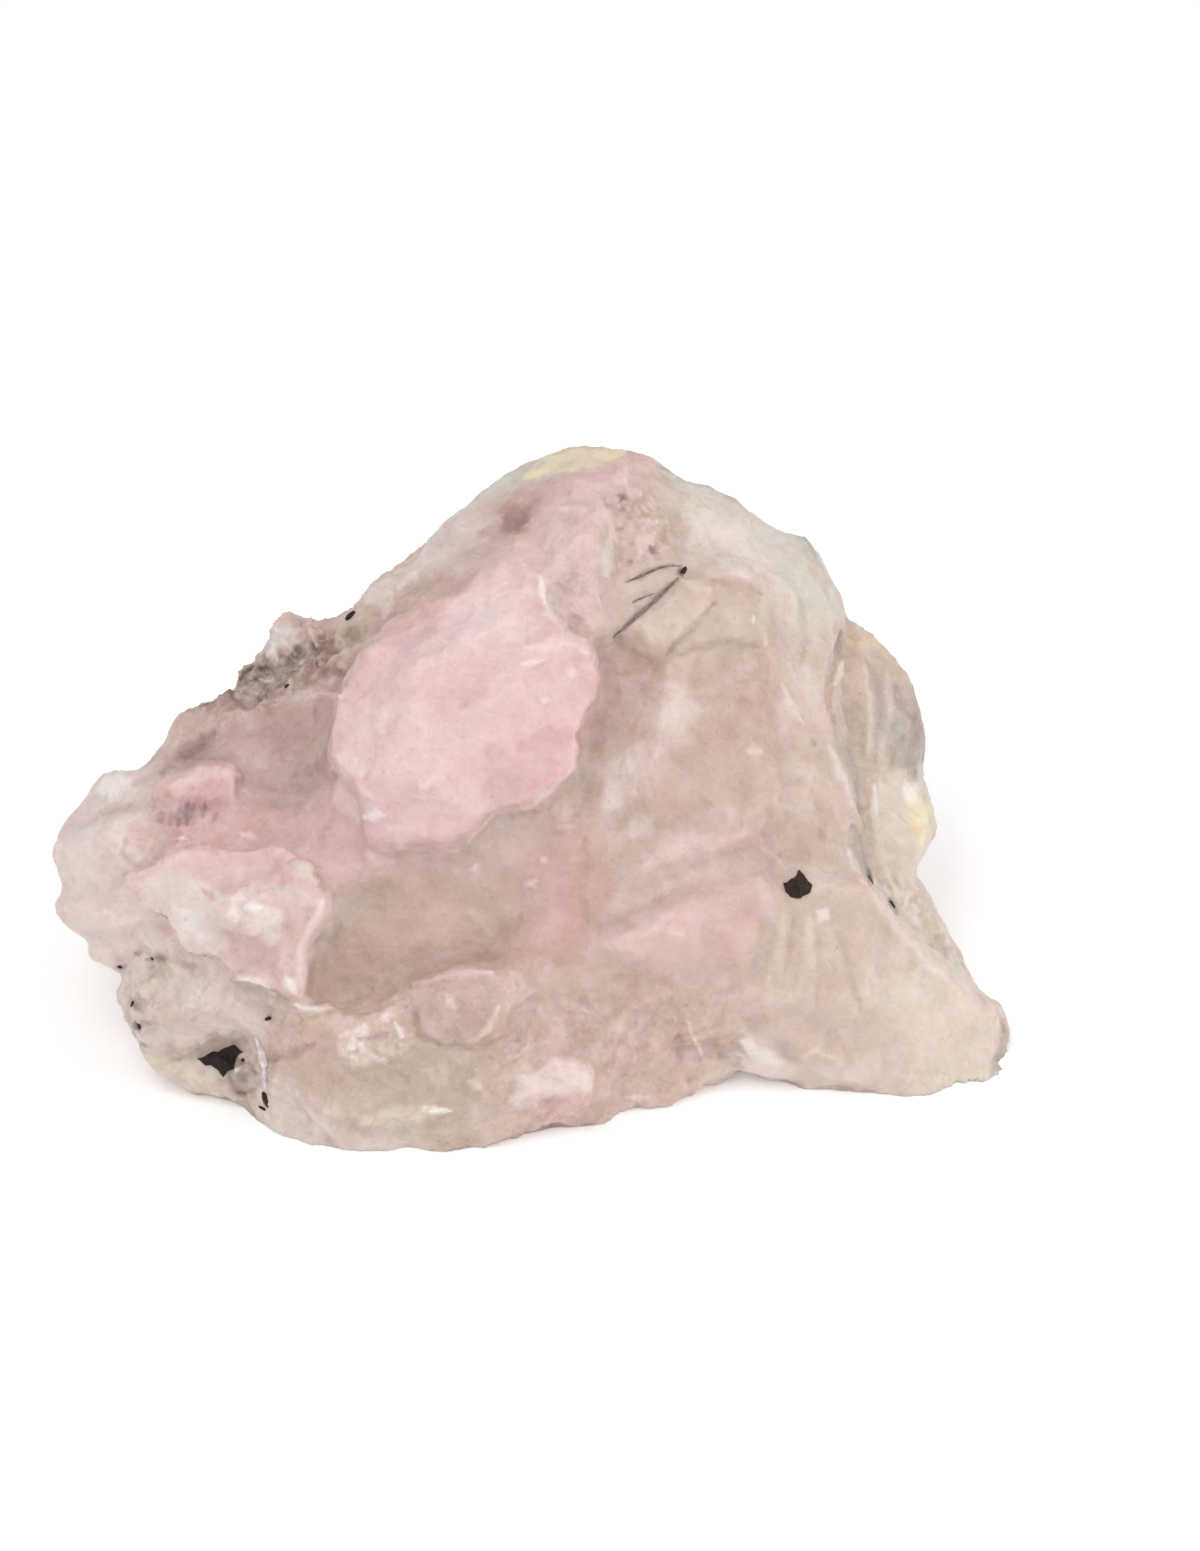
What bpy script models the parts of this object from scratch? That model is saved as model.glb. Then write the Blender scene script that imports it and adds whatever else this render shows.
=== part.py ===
"""Rose quartz crystal: a rough hand-sized lump of massive rose quartz.

The lump broke out of its vein as one piece. It has a broad weathered show
face at the front, which leans back, a ring of broken edges around it, large
fracture planes at the back and one flat break that it rests on.

The relief is described in the frame of the show face, in millimetres:
u runs across the face, v runs up it and w stands out of it. `standing`
gives the matrix that stands it up in metres, with +Z up, and the finished
lump is then moved so that x = y = 0 is the middle of its bounding box.
"""

import math

import bmesh
import bpy
import numpy as np
from mathutils import Matrix, Vector, noise

# ---- driving sizes ---------------------------------------------------------

NODE_NAME = "rose_quartz_crystal"
MM = 0.001

FACE_TURN_DEG = 55.0        # show face turned up about u: 0 lies flat, 90 is upright
FACE_CENTRE_Z = 26.5        # height of u = v = w = 0 above the rest face
MIDDLE_X = 0.052            # the middle of the finished lump, moved to x = y = 0
MIDDLE_Y = 9.048
HUB_U = 0.0                 # the rim is star-shaped about this point of the face
HUB_V = -1.5

BACK_DEPTH = -58.0          # w of the rounded back before its fractures
BACK_FULLNESS = 2.6         # superellipse power of the back: 2 is round
SPHERE_STEPS = 7            # subdivisions of the starting icosphere
VOXEL = 0.6                 # spacing of the evened-out mesh
TRIANGLE_BUDGET = 11000     # triangles left after reduction
SNAP = 0.12                 # points this near the rest face are moved onto it
FACET_BLEND = 0.6           # softness of the creases between facets
EDGE_ROLL = 4.5             # width over which the face rolls over into the rim
SMOOTH_PASSES = 1           # weathering of the edges before the fine relief
SMOOTH_SHARE = 0.5          # how far each pass moves a point to its neighbours' middle
FLAKE_SIZE = 4.6            # small scallops of the broken surface: width and depth
FLAKE_DEPTH = 0.5
RIDGE_HEIGHT = 0.25         # how far the ridges between the scallops stand out
GRAIN_SIZE = 1.9            # finer grain: width and height
GRAIN_HEIGHT = 0.1
SCALLOP_SIZE = 12.0         # large conchoidal scallops of the back: width and depth
SCALLOP_DEPTH = 3.6
SWELL_SIZE = 19.0           # broad swells of the back: width and height
SWELL_HEIGHT = 2.0
BACK_TURN = 0.6             # how far a surface turns away before the back's relief is full

# ---- the rim of the show face: (u, v, w), clockwise from the summit ---------

RIM = [
    (7.0, 29.6, -15.0), (10.0, 28.9, -15.5), (12.7, 27.1, -16.0), (15.5, 26.1, -17.0),
    (17.5, 25.0, -17.5), (19.8, 23.1, -18.0), (22.6, 22.1, -19.0), (24.3, 20.0, -19.5),
    (25.6, 17.3, -20.0), (26.4, 15.0, -20.5), (29.0, 13.6, -21.0), (31.8, 10.0, -21.5),
    (33.0, 5.0, -22.0), (32.5, 2.2, -22.0), (34.0, -2.4, -21.0), (32.1, -6.4, -18.5),
    (35.0, -11.8, -17.5), (37.3, -15.8, -17.5), (39.3, -17.4, -18.0), (40.1, -19.6, -18.0),
    (39.6, -22.0, -15.5), (38.2, -23.8, -13.0), (36.4, -23.3, -12.6), (33.0, -24.6, -11.2),
    (27.0, -24.3, -11.6), (22.8, -24.2, -11.8), (20.2, -23.2, -12.8), (17.5, -22.5, -13.6),
    (14.2, -23.9, -12.2), (11.2, -25.2, -10.4), (7.5, -25.6, -9.8), (6.3, -27.1, -7.8),
    (0.5, -27.4, -7.2), (-4.5, -28.6, -5.6), (-8.0, -29.5, -4.4), (-10.2, -28.8, -5.2),
    (-13.0, -29.4, -4.6), (-16.2, -29.4, -4.6), (-21.5, -27.6, -7.0), (-24.5, -25.0, -9.0),
    (-29.0, -24.0, -10.0), (-32.0, -22.0, -10.0), (-33.5, -18.0, -9.5), (-34.1, -16.0, -9.5),
    (-33.9, -14.2, -9.5), (-36.7, -12.9, -10.0), (-36.3, -12.0, -10.0), (-39.0, -10.5, -10.5),
    (-40.1, -9.0, -11.0), (-38.8, -7.9, -10.5), (-40.0, -4.6, -11.5), (-39.4, -2.9, -12.0),
    (-36.8, 0.6, -13.0), (-36.1, 2.0, -13.0), (-32.8, 2.4, -12.5), (-30.2, 5.0, -13.0),
    (-29.5, 6.9, -13.5), (-26.9, 8.5, -14.5), (-25.8, 8.5, -14.5), (-23.6, 11.2, -16.0),
    (-20.7, 14.7, -17.5), (-18.4, 14.0, -16.5), (-15.9, 15.2, -15.5), (-10.0, 20.5, -15.0),
    (-7.6, 22.8, -15.0), (-3.0, 26.2, -15.5), (0.0, 28.0, -15.5), (4.0, 29.2, -15.0),
]

# ---- the ground of the show face --------------------------------------------
# Each strip is a facet: it runs from (u, v, w) to (u, v, w), and `lean` is its
# slope to the right of that run. The surface belongs to the nearest strip.

GROUND = [
    # summit and the slope that falls from it to the upper left
    ((3.0, 27.6, -11.0), (8.0, 27.8, -11.5), 0.6),
    ((-6.0, 21.3, -11.5), (-0.5, 25.2, -10.2), 0.55),
    ((-13.5, 14.6, -11.0), (-8.0, 19.4, -11.2), 0.4),
    ((-10.0, 16.2, -6.2), (-5.0, 19.2, -6.0), 0.15),
    ((-1.0, 22.0, -6.2), (4.0, 25.2, -7.4), 0.35),
    # mauve column under the summit and the speckled face beside it
    ((3.0, 15.5, -3.4), (4.2, 21.5, -4.6), -0.1),
    ((8.2, 17.8, -6.2), (8.6, 24.2, -8.0), -0.25),
    ((12.0, 20.4, -8.2), (12.0, 25.2, -11.4), -0.4),
    # blocky steps and the dark slot under the needles
    ((10.0, 14.0, -5.4), (13.6, 17.0, -6.4), 0.1),
    ((16.0, 14.4, -6.8), (17.0, 17.8, -8.2), -0.3),
    ((6.6, 5.5, -6.4), (7.6, 11.4, -6.8), 0.0),
    # pale flank along the upper right rim, and the cream band below it
    ((15.5, 23.2, -13.0), (20.5, 20.6, -13.8), 0.5),
    ((21.4, 12.4, -10.2), (22.6, 18.4, -13.2), -0.55),
    ((22.0, 4.0, -8.2), (22.6, 10.0, -9.8), -0.5),
    ((22.6, -3.6, -6.8), (22.8, 2.0, -8.0), -0.4),
    ((24.6, 5.0, -10.4), (25.0, -2.0, -9.2), 0.7),
    # domed panel in the middle of the right side
    ((11.0, 1.6, -3.8), (13.2, 8.2, -4.8), 0.05),
    ((17.4, -1.0, -4.4), (17.6, 8.0, -6.0), -0.28),
    ((15.0, 11.0, -6.2), (19.6, 11.6, -7.8), 0.15),
    ((7.0, -5.6, -4.2), (15.0, -2.8, -3.6), 0.1),
    ((10.0, -7.6, -4.8), (18.0, -5.4, -5.0), -0.1),
    ((6.0, -1.0, -5.2), (6.4, 3.0, -5.6), 0.1),
    # floor of the brown hollow
    ((-16.0, -13.6, -5.2), (-9.0, -11.6, -5.2), 0.1),
    ((-14.0, -8.8, -5.6), (-6.0, -9.4, -5.2), -0.1),
    ((-8.0, -6.2, -4.4), (-1.0, -6.8, -4.4), -0.15),
    ((1.8, -10.6, -3.2), (2.2, -5.4, -4.0), 0.05),
    ((-1.0, -3.0, -4.2), (3.0, -1.6, -4.8), 0.0),
    # the shelf below the hollow and the pink band over the lower rim
    ((2.0, -14.2, -2.4), (9.0, -14.8, -3.2), 0.1),
    ((-0.5, -18.4, -2.6), (6.0, -18.4, -3.2), -0.05),
    ((8.6, -20.8, -5.2), (12.6, -17.6, -4.8), -0.2),
    ((10.4, -23.6, -7.4), (13.4, -21.6, -7.6), -0.3),
    # lower right spur, fanning out from under the black grain
    ((20.2, -15.0, -5.4), (21.2, -9.4, -5.0), -0.05),
    ((26.4, -15.6, -6.2), (25.0, -10.0, -6.0), -0.2),
    ((33.4, -17.4, -9.8), (29.0, -12.6, -8.2), -0.45),
    ((22.4, -19.6, -7.4), (30.0, -20.4, -8.8), -0.35),
    ((34.6, -19.0, -10.6), (37.2, -20.4, -12.4), -0.1),
    ((16.6, -19.6, -7.2), (20.4, -22.0, -9.4), -0.3),
    # pink knob, dark smooth recess and the grey broken corner, upper left
    ((-29.6, 0.8, -5.6), (-26.4, 1.6, -5.6), 0.3),
    ((-28.6, 4.6, -10.2), (-28.0, 6.6, -11.4), 0.2),
    ((-24.0, 3.2, -8.4), (-19.0, 2.6, -7.8), 0.1),
    ((-24.4, 6.8, -9.6), (-18.4, 7.8, -8.8), 0.3),
    ((-23.0, 10.0, -12.2), (-17.6, 11.6, -11.0), 0.5),
    ((-20.6, 13.4, -15.0), (-17.4, 13.6, -13.6), 0.3),
    ((-15.6, 11.6, -9.4), (-14.6, 13.8, -10.0), 0.2),
    # strong pink saddle between the left cluster and the main plate
    ((-24.6, -2.4, -4.8), (-18.6, -2.6, -4.4), 0.2),
    ((-17.4, -5.0, -3.4), (-12.0, -5.4, -3.2), 0.2),
    ((-16.6, -1.8, -4.2), (-15.4, 0.2, -4.6), 0.0),
    # left end, rounded pale lumps
    ((-35.4, 0.6, -9.4), (-33.8, 1.0, -9.2), 0.4),
    ((-37.6, -3.6, -7.4), (-34.4, -3.4, -5.8), 0.15),
    ((-33.2, -1.6, -6.8), (-31.6, -3.6, -5.6), 0.0),
    ((-37.0, -8.6, -6.6), (-34.0, -9.4, -4.8), -0.1),
    ((-33.6, -12.6, -6.8), (-31.4, -12.8, -5.6), -0.1),
    # knobs of the lower left corner and the dark notch between them
    ((-31.4, -16.6, -4.6), (-27.6, -16.4, -2.6), 0.1),
    ((-30.4, -20.4, -6.4), (-27.0, -19.0, -4.6), -0.3),
    ((-28.4, -22.8, -7.8), (-25.2, -23.6, -7.6), -0.3),
    ((-25.8, -21.4, -7.4), (-24.0, -21.2, -7.0), 0.0),
    ((-23.6, -17.0, -3.2), (-20.6, -18.6, -2.8), -0.1),
    ((-20.8, -22.4, -3.2), (-20.0, -25.4, -4.2), 0.0),
]

# ---- pieces of relief that overhang or step off the ground -------------------
# `outline` is the foot of the step, `edge` its width, `facets` its own strips.

MAIN_PLATE = {
    "outline": [
        (0.7, 18.6), (1.4, 15.9), (2.6, 14.2), (5.3, 12.3), (5.9, 10.2), (5.5, 8.3),
        (4.0, 5.4), (3.6, 2.4), (0.1, -0.5), (-3.0, -0.9), (-5.2, -3.5), (-7.2, -4.5),
        (-8.6, -3.9), (-12.4, -4.2), (-13.9, -3.7), (-14.1, 0.0), (-16.1, 2.4), (-17.1, 3.0),
        (-16.9, 4.8), (-16.1, 8.4), (-14.8, 11.2), (-13.0, 13.2), (-12.0, 14.8), (-5.6, 17.9),
        (-2.2, 20.4),
    ],
    "edge": 0.6,
    "facets": [
        ((-13.6, 4.0, 0.4), (-12.4, 11.0, -1.6), 0.5),
        ((-8.6, 3.0, 1.9), (-8.0, 10.0, 1.2), 0.08),
        ((-2.6, 1.8, 1.2), (-1.6, 7.0, 1.6), -0.12),
        ((2.2, 5.0, -0.6), (2.8, 11.4, -1.0), -0.4),
        ((-10.0, 14.0, -3.4), (-5.0, 16.4, -3.0), 0.5),
        ((-5.0, 12.4, 0.4), (-0.6, 14.6, -0.8), 0.25),
        ((-1.2, 18.0, -2.6), (0.2, 16.0, -1.4), 0.3),
        ((-11.4, -1.6, 0.0), (-7.0, -2.2, 0.3), -0.4),
        ((-4.4, -0.6, 0.2), (-2.0, 0.6, 0.2), -0.45),
    ],
}

LEFT_CLUSTER = {
    "outline": [
        (-30.8, -5.2), (-30.2, -4.2), (-27.6, -3.9), (-20.4, -3.8), (-18.6, -5.2),
        (-17.8, -7.0), (-16.6, -8.0), (-17.2, -9.9), (-18.6, -12.2), (-19.0, -16.6),
        (-22.4, -15.2), (-24.8, -15.0), (-26.4, -13.4), (-28.6, -13.0), (-30.0, -10.6),
        (-32.6, -8.2), (-33.8, -6.2),
    ],
    "edge": 0.6,
    "facets": [
        ((-27.6, -5.6, -2.4), (-22.0, -5.6, -1.6), 0.35),
        ((-30.8, -7.4, -3.8), (-27.4, -10.6, -2.2), -0.2),
        ((-23.6, -8.4, 0.0), (-19.4, -8.4, 0.2), 0.05),
        ((-24.2, -13.0, -0.8), (-22.6, -10.8, -0.1), 0.0),
        ((-20.2, -10.0, 0.2), (-20.0, -14.8, -0.8), 0.1),
    ],
}

LOWER_RIM = {
    "outline": [
        (-18.4, -17.4), (-14.0, -17.6), (-11.6, -16.6), (-10.0, -15.0), (-5.0, -13.6),
        (-2.6, -13.8), (-0.6, -16.0), (-2.2, -19.4), (-2.6, -21.4), (1.0, -21.6),
        (4.6, -21.4), (5.6, -22.8), (5.0, -24.6), (3.0, -26.0), (-3.0, -27.4),
        (-8.0, -28.8), (-15.6, -28.8), (-18.8, -25.4), (-19.4, -21.6),
    ],
    "edge": 0.7,
    "facets": [
        ((-14.8, -19.8, -1.4), (-11.8, -19.0, -1.0), -0.1),
        ((-8.8, -16.4, -0.8), (-4.6, -15.8, -0.6), 0.1),
        ((-6.8, -18.6, -1.0), (-3.6, -19.4, -1.6), -0.3),
        ((-16.6, -23.2, -2.2), (-8.0, -22.8, -1.8), -0.1),
        ((-12.6, -26.4, -3.0), (-6.4, -26.4, -2.8), -0.4),
        ((-0.6, -23.6, -2.2), (3.8, -22.8, -2.6), -0.1),
    ],
}

PINK_LEDGE = {
    "outline": [
        (5.4, -11.8), (8.0, -10.4), (10.0, -9.4), (11.4, -8.1), (15.0, -7.0), (19.4, -6.2),
        (20.6, -7.6), (18.8, -10.6), (17.8, -13.6), (11.4, -13.6), (7.8, -12.9),
    ],
    "edge": 0.6,
    "facets": [
        ((8.6, -11.6, -2.0), (15.4, -9.6, -2.2), 0.15),
        ((16.4, -8.6, -3.0), (19.0, -7.4, -4.4), 0.1),
        ((12.4, -12.4, -2.2), (16.8, -12.2, -2.8), -0.4),
    ],
}

RIGHT_LUMP = {
    "outline": [
        (26.2, 16.0), (25.4, 12.0), (25.6, 8.0), (26.8, 2.4), (27.4, -3.0), (28.2, -7.2),
        (30.4, -9.8), (33.4, -12.8), (37.0, -15.4), (44.0, -16.0), (44.0, 16.0),
    ],
    "edge": 0.7,
    "facets": [
        ((27.4, 3.0, -14.8), (27.2, 12.0, -16.6), -0.1),
        ((29.8, 3.0, -15.4), (29.4, 11.0, -17.4), -0.4),
        ((31.4, -1.6, -16.2), (31.6, 5.0, -17.6), -0.6),
        ((29.4, -6.0, -14.0), (30.2, -1.8, -15.0), -0.3),
        ((33.4, -10.6, -15.4), (35.0, -13.4, -15.8), 0.3),
    ],
}

OVERHANGS = (RIGHT_LUMP, PINK_LEDGE, LOWER_RIM, LEFT_CLUSTER, MAIN_PLATE)

# ---- fracture planes: outward normal standing up, and room left to the rim ---

FRACTURES = [
    ((0.06, 1.00, 0.04), 0.3),
    ((-0.10, 0.80, 0.60), 0.3),
    ((0.34, 0.88, 0.34), 0.3),
    ((-0.56, 0.76, 0.34), 0.3),
    ((-0.70, 0.72, 0.02), 1.5),
    ((-0.84, 0.48, -0.26), 0.2),
    ((0.66, 0.72, 0.22), 0.3),
    ((0.90, 0.42, -0.10), 0.4),
    ((0.60, 0.56, -0.56), 1.5),
    ((0.20, 0.88, -0.42), 3.5),
    ((-0.24, 0.86, -0.46), 5.0),
    ((-0.66, 0.40, -0.64), 2.0),
    ((-0.60, -0.24, -0.76), 0.3),
]


def smooth_ramp(x):
    """0 below 0, 1 above 1, and an even S-curve between."""
    x = np.clip(x, 0.0, 1.0)
    return x * x * (3.0 - 2.0 * x)


def strips_height(u, v, strips):
    """Height of the facet whose strip is nearest, blended softly over the creases."""
    distances = []
    heights = []
    for (u0, v0, w0), (u1, v1, w1), lean in strips:
        run = math.hypot(u1 - u0, v1 - v0)
        along_u = (u1 - u0) / run
        along_v = (v1 - v0) / run
        along = (u - u0) * along_u + (v - v0) * along_v
        right = (u - u0) * along_v - (v - v0) * along_u
        past_end = along - np.clip(along, 0.0, run)
        distances.append(np.hypot(past_end, right))
        heights.append(w0 + (w1 - w0) * along / run + lean * right)
    distances = np.array(distances)
    weights = np.exp((distances.min(axis=0) - distances) / FACET_BLEND)
    return (weights * np.array(heights)).sum(axis=0) / weights.sum(axis=0)


def inside_distance(u, v, outline):
    """Distance to a closed outline: positive inside it, negative outside."""
    nearest = np.full(u.shape, np.inf)
    inside = np.zeros(u.shape, dtype=bool)
    for (u0, v0), (u1, v1) in zip(outline, outline[1:] + outline[:1]):
        du = u1 - u0
        dv = v1 - v0
        t = np.clip(((u - u0) * du + (v - v0) * dv) / (du * du + dv * dv), 0.0, 1.0)
        nearest = np.minimum(nearest, np.hypot(u - u0 - t * du, v - v0 - t * dv))
        crosses = (v0 > v) != (v1 > v)
        reach = u0 + (v - v0) * du / (dv if dv else 1e-9)
        inside ^= crosses & (u < reach)
    return np.where(inside, nearest, -nearest)


def face_height(u, v):
    """Height w of the show face at (u, v)."""
    height = strips_height(u, v, GROUND)
    for step in OVERHANGS:
        share = smooth_ramp(0.5 + inside_distance(u, v, step["outline"]) / step["edge"])
        height = height + (strips_height(u, v, step["facets"]) - height) * share
    return height


def rim_at(angle):
    """Radius and depth of the rim in a direction about the hub."""
    rim = np.array(RIM)
    rim_angle = np.arctan2(rim[:, 1] - HUB_V, rim[:, 0] - HUB_U)
    rim_radius = np.hypot(rim[:, 0] - HUB_U, rim[:, 1] - HUB_V)
    turn = 2.0 * math.pi
    return (
        np.interp(angle, rim_angle, rim_radius, period=turn),
        np.interp(angle, rim_angle, rim[:, 2], period=turn),
    )


def lump_from_sphere():
    """An icosphere pushed out to the rim, its front to the face, its back full."""
    mesh = bmesh.new()
    bmesh.ops.create_icosphere(mesh, subdivisions=SPHERE_STEPS, radius=1.0)
    ball = np.array([vert.co[:] for vert in mesh.verts])
    radius, rim_w = rim_at(np.arctan2(ball[:, 1], ball[:, 0]))
    across = np.hypot(ball[:, 0], ball[:, 1])
    front = ball[:, 2] >= 0.0
    spread = np.where(front, across, across ** (2.0 / BACK_FULLNESS))
    u = HUB_U + radius * spread * ball[:, 0] / np.maximum(across, 1e-9)
    v = HUB_V + radius * spread * ball[:, 1] / np.maximum(across, 1e-9)
    rolled = np.sqrt(1.0 - (1.0 - np.clip((1.0 - spread) * radius / EDGE_ROLL, 0.0, 1.0)) ** 2)
    front_w = rim_w + (face_height(u, v) - rim_w) * rolled
    back_w = rim_w + (BACK_DEPTH - rim_w) * np.abs(ball[:, 2]) ** (2.0 / BACK_FULLNESS)
    w = np.where(front, front_w, back_w)
    for vert, place in zip(mesh.verts, zip(u, v, w)):
        vert.co = Vector(place)
    return mesh


def standing():
    """The matrix from the face frame to the world: turn up, lift, go to metres."""
    turn = Matrix.Rotation(math.radians(FACE_TURN_DEG), 4, "X")
    lift = Matrix.Translation((0.0, 0.0, FACE_CENTRE_Z))
    return Matrix.Scale(MM, 4) @ lift @ turn


def break_off(mesh, point, normal, snap=0.0):
    """Break away what lies beyond a plane and close the mesh with the new face."""
    everything = mesh.verts[:] + mesh.edges[:] + mesh.faces[:]
    cut = bmesh.ops.bisect_plane(
        mesh, geom=everything, dist=snap, plane_co=point, plane_no=normal,
        clear_outer=True, use_snap_center=snap > 0.0,
    )
    edges = [item for item in cut["geom_cut"] if isinstance(item, bmesh.types.BMEdge)]
    bmesh.ops.holes_fill(mesh, edges=[edge for edge in edges if edge.is_boundary])


def break_back(mesh):
    """Break the rounded back along its fracture planes, which all spare the rim."""
    rim = [standing() @ Vector(point) for point in RIM]
    for direction, room in FRACTURES:
        normal = Vector(direction).normalized()
        reach = max(normal.dot(point) for point in rim) + room * MM
        break_off(mesh, normal * reach, normal)


def scallops(place, size, depth):
    """Shell-shaped hollows that meet in sharp ridges, as quartz breaks."""
    return -abs(noise.noise(place / size)) * depth


def roughen(mesh):
    """Weather the edges, then break the surface up, most of all at the back."""
    for _ in range(SMOOTH_PASSES):
        bmesh.ops.smooth_vert(
            mesh, verts=mesh.verts[:], factor=SMOOTH_SHARE,
            use_axis_x=True, use_axis_y=True, use_axis_z=True,
        )
    mesh.normal_update()
    out_of_face = (standing().to_3x3() @ Vector((0.0, 0.0, 1.0))).normalized()
    moves = []
    for vert in mesh.verts:
        place = vert.co / MM
        turned = min(max(-vert.normal.dot(out_of_face) / BACK_TURN, 0.0), 1.0)
        back = scallops(place, SCALLOP_SIZE, SCALLOP_DEPTH)
        back += noise.noise(place / SWELL_SIZE) * SWELL_HEIGHT
        height = back * turned + RIDGE_HEIGHT + scallops(place, FLAKE_SIZE, FLAKE_DEPTH)
        height += noise.noise(place / GRAIN_SIZE) * GRAIN_HEIGHT
        moves.append(vert.normal * height * MM)
    for vert, move in zip(mesh.verts, moves):
        vert.co += move


def evaluated_mesh(lump):
    """The object's mesh with its modifiers worked out."""
    depsgraph = bpy.context.evaluated_depsgraph_get()
    mesh = bmesh.new()
    mesh.from_object(lump, depsgraph)
    return mesh


def replace_mesh(lump, mesh):
    """Put a finished mesh on the object, in place of its modifiers."""
    lump.modifiers.clear()
    mesh.to_mesh(lump.data)
    mesh.free()


def rose_quartz_material():
    """Milky pale pink quartz."""
    material = bpy.data.materials.new("rose_quartz")
    material.use_nodes = True
    shader = material.node_tree.nodes["Principled BSDF"]
    shader.inputs["Base Color"].default_value = (0.66, 0.46, 0.41, 1.0)
    shader.inputs["Roughness"].default_value = 0.42
    shader.inputs["Metallic"].default_value = 0.0
    return material


def clear_scene():
    for old in list(bpy.data.objects):
        bpy.data.objects.remove(old, do_unlink=True)


def build_lump():
    """The whole lump as one closed solid, standing on its flat break at z = 0."""
    mesh = lump_from_sphere()
    mesh.transform(standing())
    break_back(mesh)
    data = bpy.data.meshes.new(NODE_NAME)
    mesh.to_mesh(data)
    mesh.free()
    lump = bpy.data.objects.new(NODE_NAME, data)
    collection = bpy.data.collections.new(NODE_NAME)
    bpy.context.scene.collection.children.link(collection)
    collection.objects.link(lump)

    even = lump.modifiers.new("even_out", "REMESH")
    even.mode = "VOXEL"
    even.voxel_size = VOXEL * MM
    mesh = evaluated_mesh(lump)
    roughen(mesh)
    replace_mesh(lump, mesh)

    fewer = lump.modifiers.new("fewer_faces", "DECIMATE")
    fewer.use_collapse_triangulate = True
    fewer.ratio = TRIANGLE_BUDGET / (2 * len(lump.data.polygons))
    mesh = evaluated_mesh(lump)
    break_off(mesh, Vector((0.0, 0.0, 0.0)), Vector((0.0, 0.0, -1.0)), snap=SNAP * MM)
    bmesh.ops.triangulate(mesh, faces=mesh.faces[:])
    bmesh.ops.recalc_face_normals(mesh, faces=mesh.faces[:])
    mesh.transform(Matrix.Translation((-MIDDLE_X * MM, -MIDDLE_Y * MM, 0.0)))
    replace_mesh(lump, mesh)
    lump.data.materials.append(rose_quartz_material())
    return lump


clear_scene()
build_lump()
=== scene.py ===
"""Rose quartz crystal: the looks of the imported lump.

The lump's own mesh is copied, made finer and given the small relief of the
break, its colours and its dark mineral grains. Places on the show face are in
millimetres in the frame of that face: u runs across it, v up it, and w stands
out of it, towards the camera.
"""

import math

import bmesh
import bpy
import numpy as np
from mathutils import Matrix, Vector, noise
from mathutils.bvhtree import BVHTree


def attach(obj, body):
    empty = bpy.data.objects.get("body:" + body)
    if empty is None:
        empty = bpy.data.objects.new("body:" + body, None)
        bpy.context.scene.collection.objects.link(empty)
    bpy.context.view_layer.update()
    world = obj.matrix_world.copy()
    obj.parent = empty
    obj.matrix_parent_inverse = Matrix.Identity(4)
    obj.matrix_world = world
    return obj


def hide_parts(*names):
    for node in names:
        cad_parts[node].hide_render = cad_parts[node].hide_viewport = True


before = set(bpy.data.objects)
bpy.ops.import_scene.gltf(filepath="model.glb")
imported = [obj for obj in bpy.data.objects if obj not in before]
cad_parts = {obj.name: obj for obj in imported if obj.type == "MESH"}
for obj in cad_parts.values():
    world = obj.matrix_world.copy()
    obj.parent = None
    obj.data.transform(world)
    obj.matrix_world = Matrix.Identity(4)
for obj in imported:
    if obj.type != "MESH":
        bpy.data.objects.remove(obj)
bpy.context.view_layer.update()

# ---- the frame of the show face ----

NODE = "rose_quartz_crystal"
MM = 0.001
TINY = 1e-9                         # keeps divisions away from zero
FACE_TURN = math.radians(55.0)      # the show face, turned up from lying flat
FACE_CENTRE_Z = 26.5                # height of u = v = w = 0 above the floor, mm
MIDDLE_X = 0.052                    # where the world's x = y = 0 lies, mm
MIDDLE_Y = 9.048

# ---- camera ----

PHOTO_HEIGHT_MM = 129.25            # what the picture's height covers at the lump
PHOTO_CENTRE = (5.667, 2.042)       # (u, v) at the middle of the picture
SHARP_DEPTH = -9.0                  # w at which that scale holds
LENS = 260.0
SENSOR = 36.0

# ---- fineness of the mesh ----

VOXEL = 0.22                        # mm
EVEN_ROUNDS = 5                     # rounds of smoothing that take the CAD facets off
TRIANGLES = 192_000                 # what is left once the back is coarser
FRONT_KEPT = 2e-5                   # how strongly thinning out spares the show face

# ---- relief of the break, sizes in mm ----

ROUGHNESS = 0.55                    # outside BREAK_ZONES
FLAKE_SIZE, FLAKE_DEPTH = 3.2, 1.1
CHIP_SIZE, CHIP_DEPTH = 1.4, 0.32
LEDGE_SIZE, LEDGE_STEP = 7.0, 0.28
GRAIN_SIZE, GRAIN_DEPTH = 0.8, 0.1
SUNK = 0.15                         # how far the relief lies below the lump's surface
WALL_REACH = 1.3                    # how far from a sharp step ground is drawn in
WALL_KEPT = 0.2                     # the share of its slope that such a step keeps
BASE_DEPTH = 0.05                   # points this near the floor belong to the base
MARK_FADE = 1.6                     # how quickly a mark fades to its sides
MARK_TIP = 0.35                     # width of a mark's ends, as a share of its width

# ---- colours, as plain sRGB ----

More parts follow.
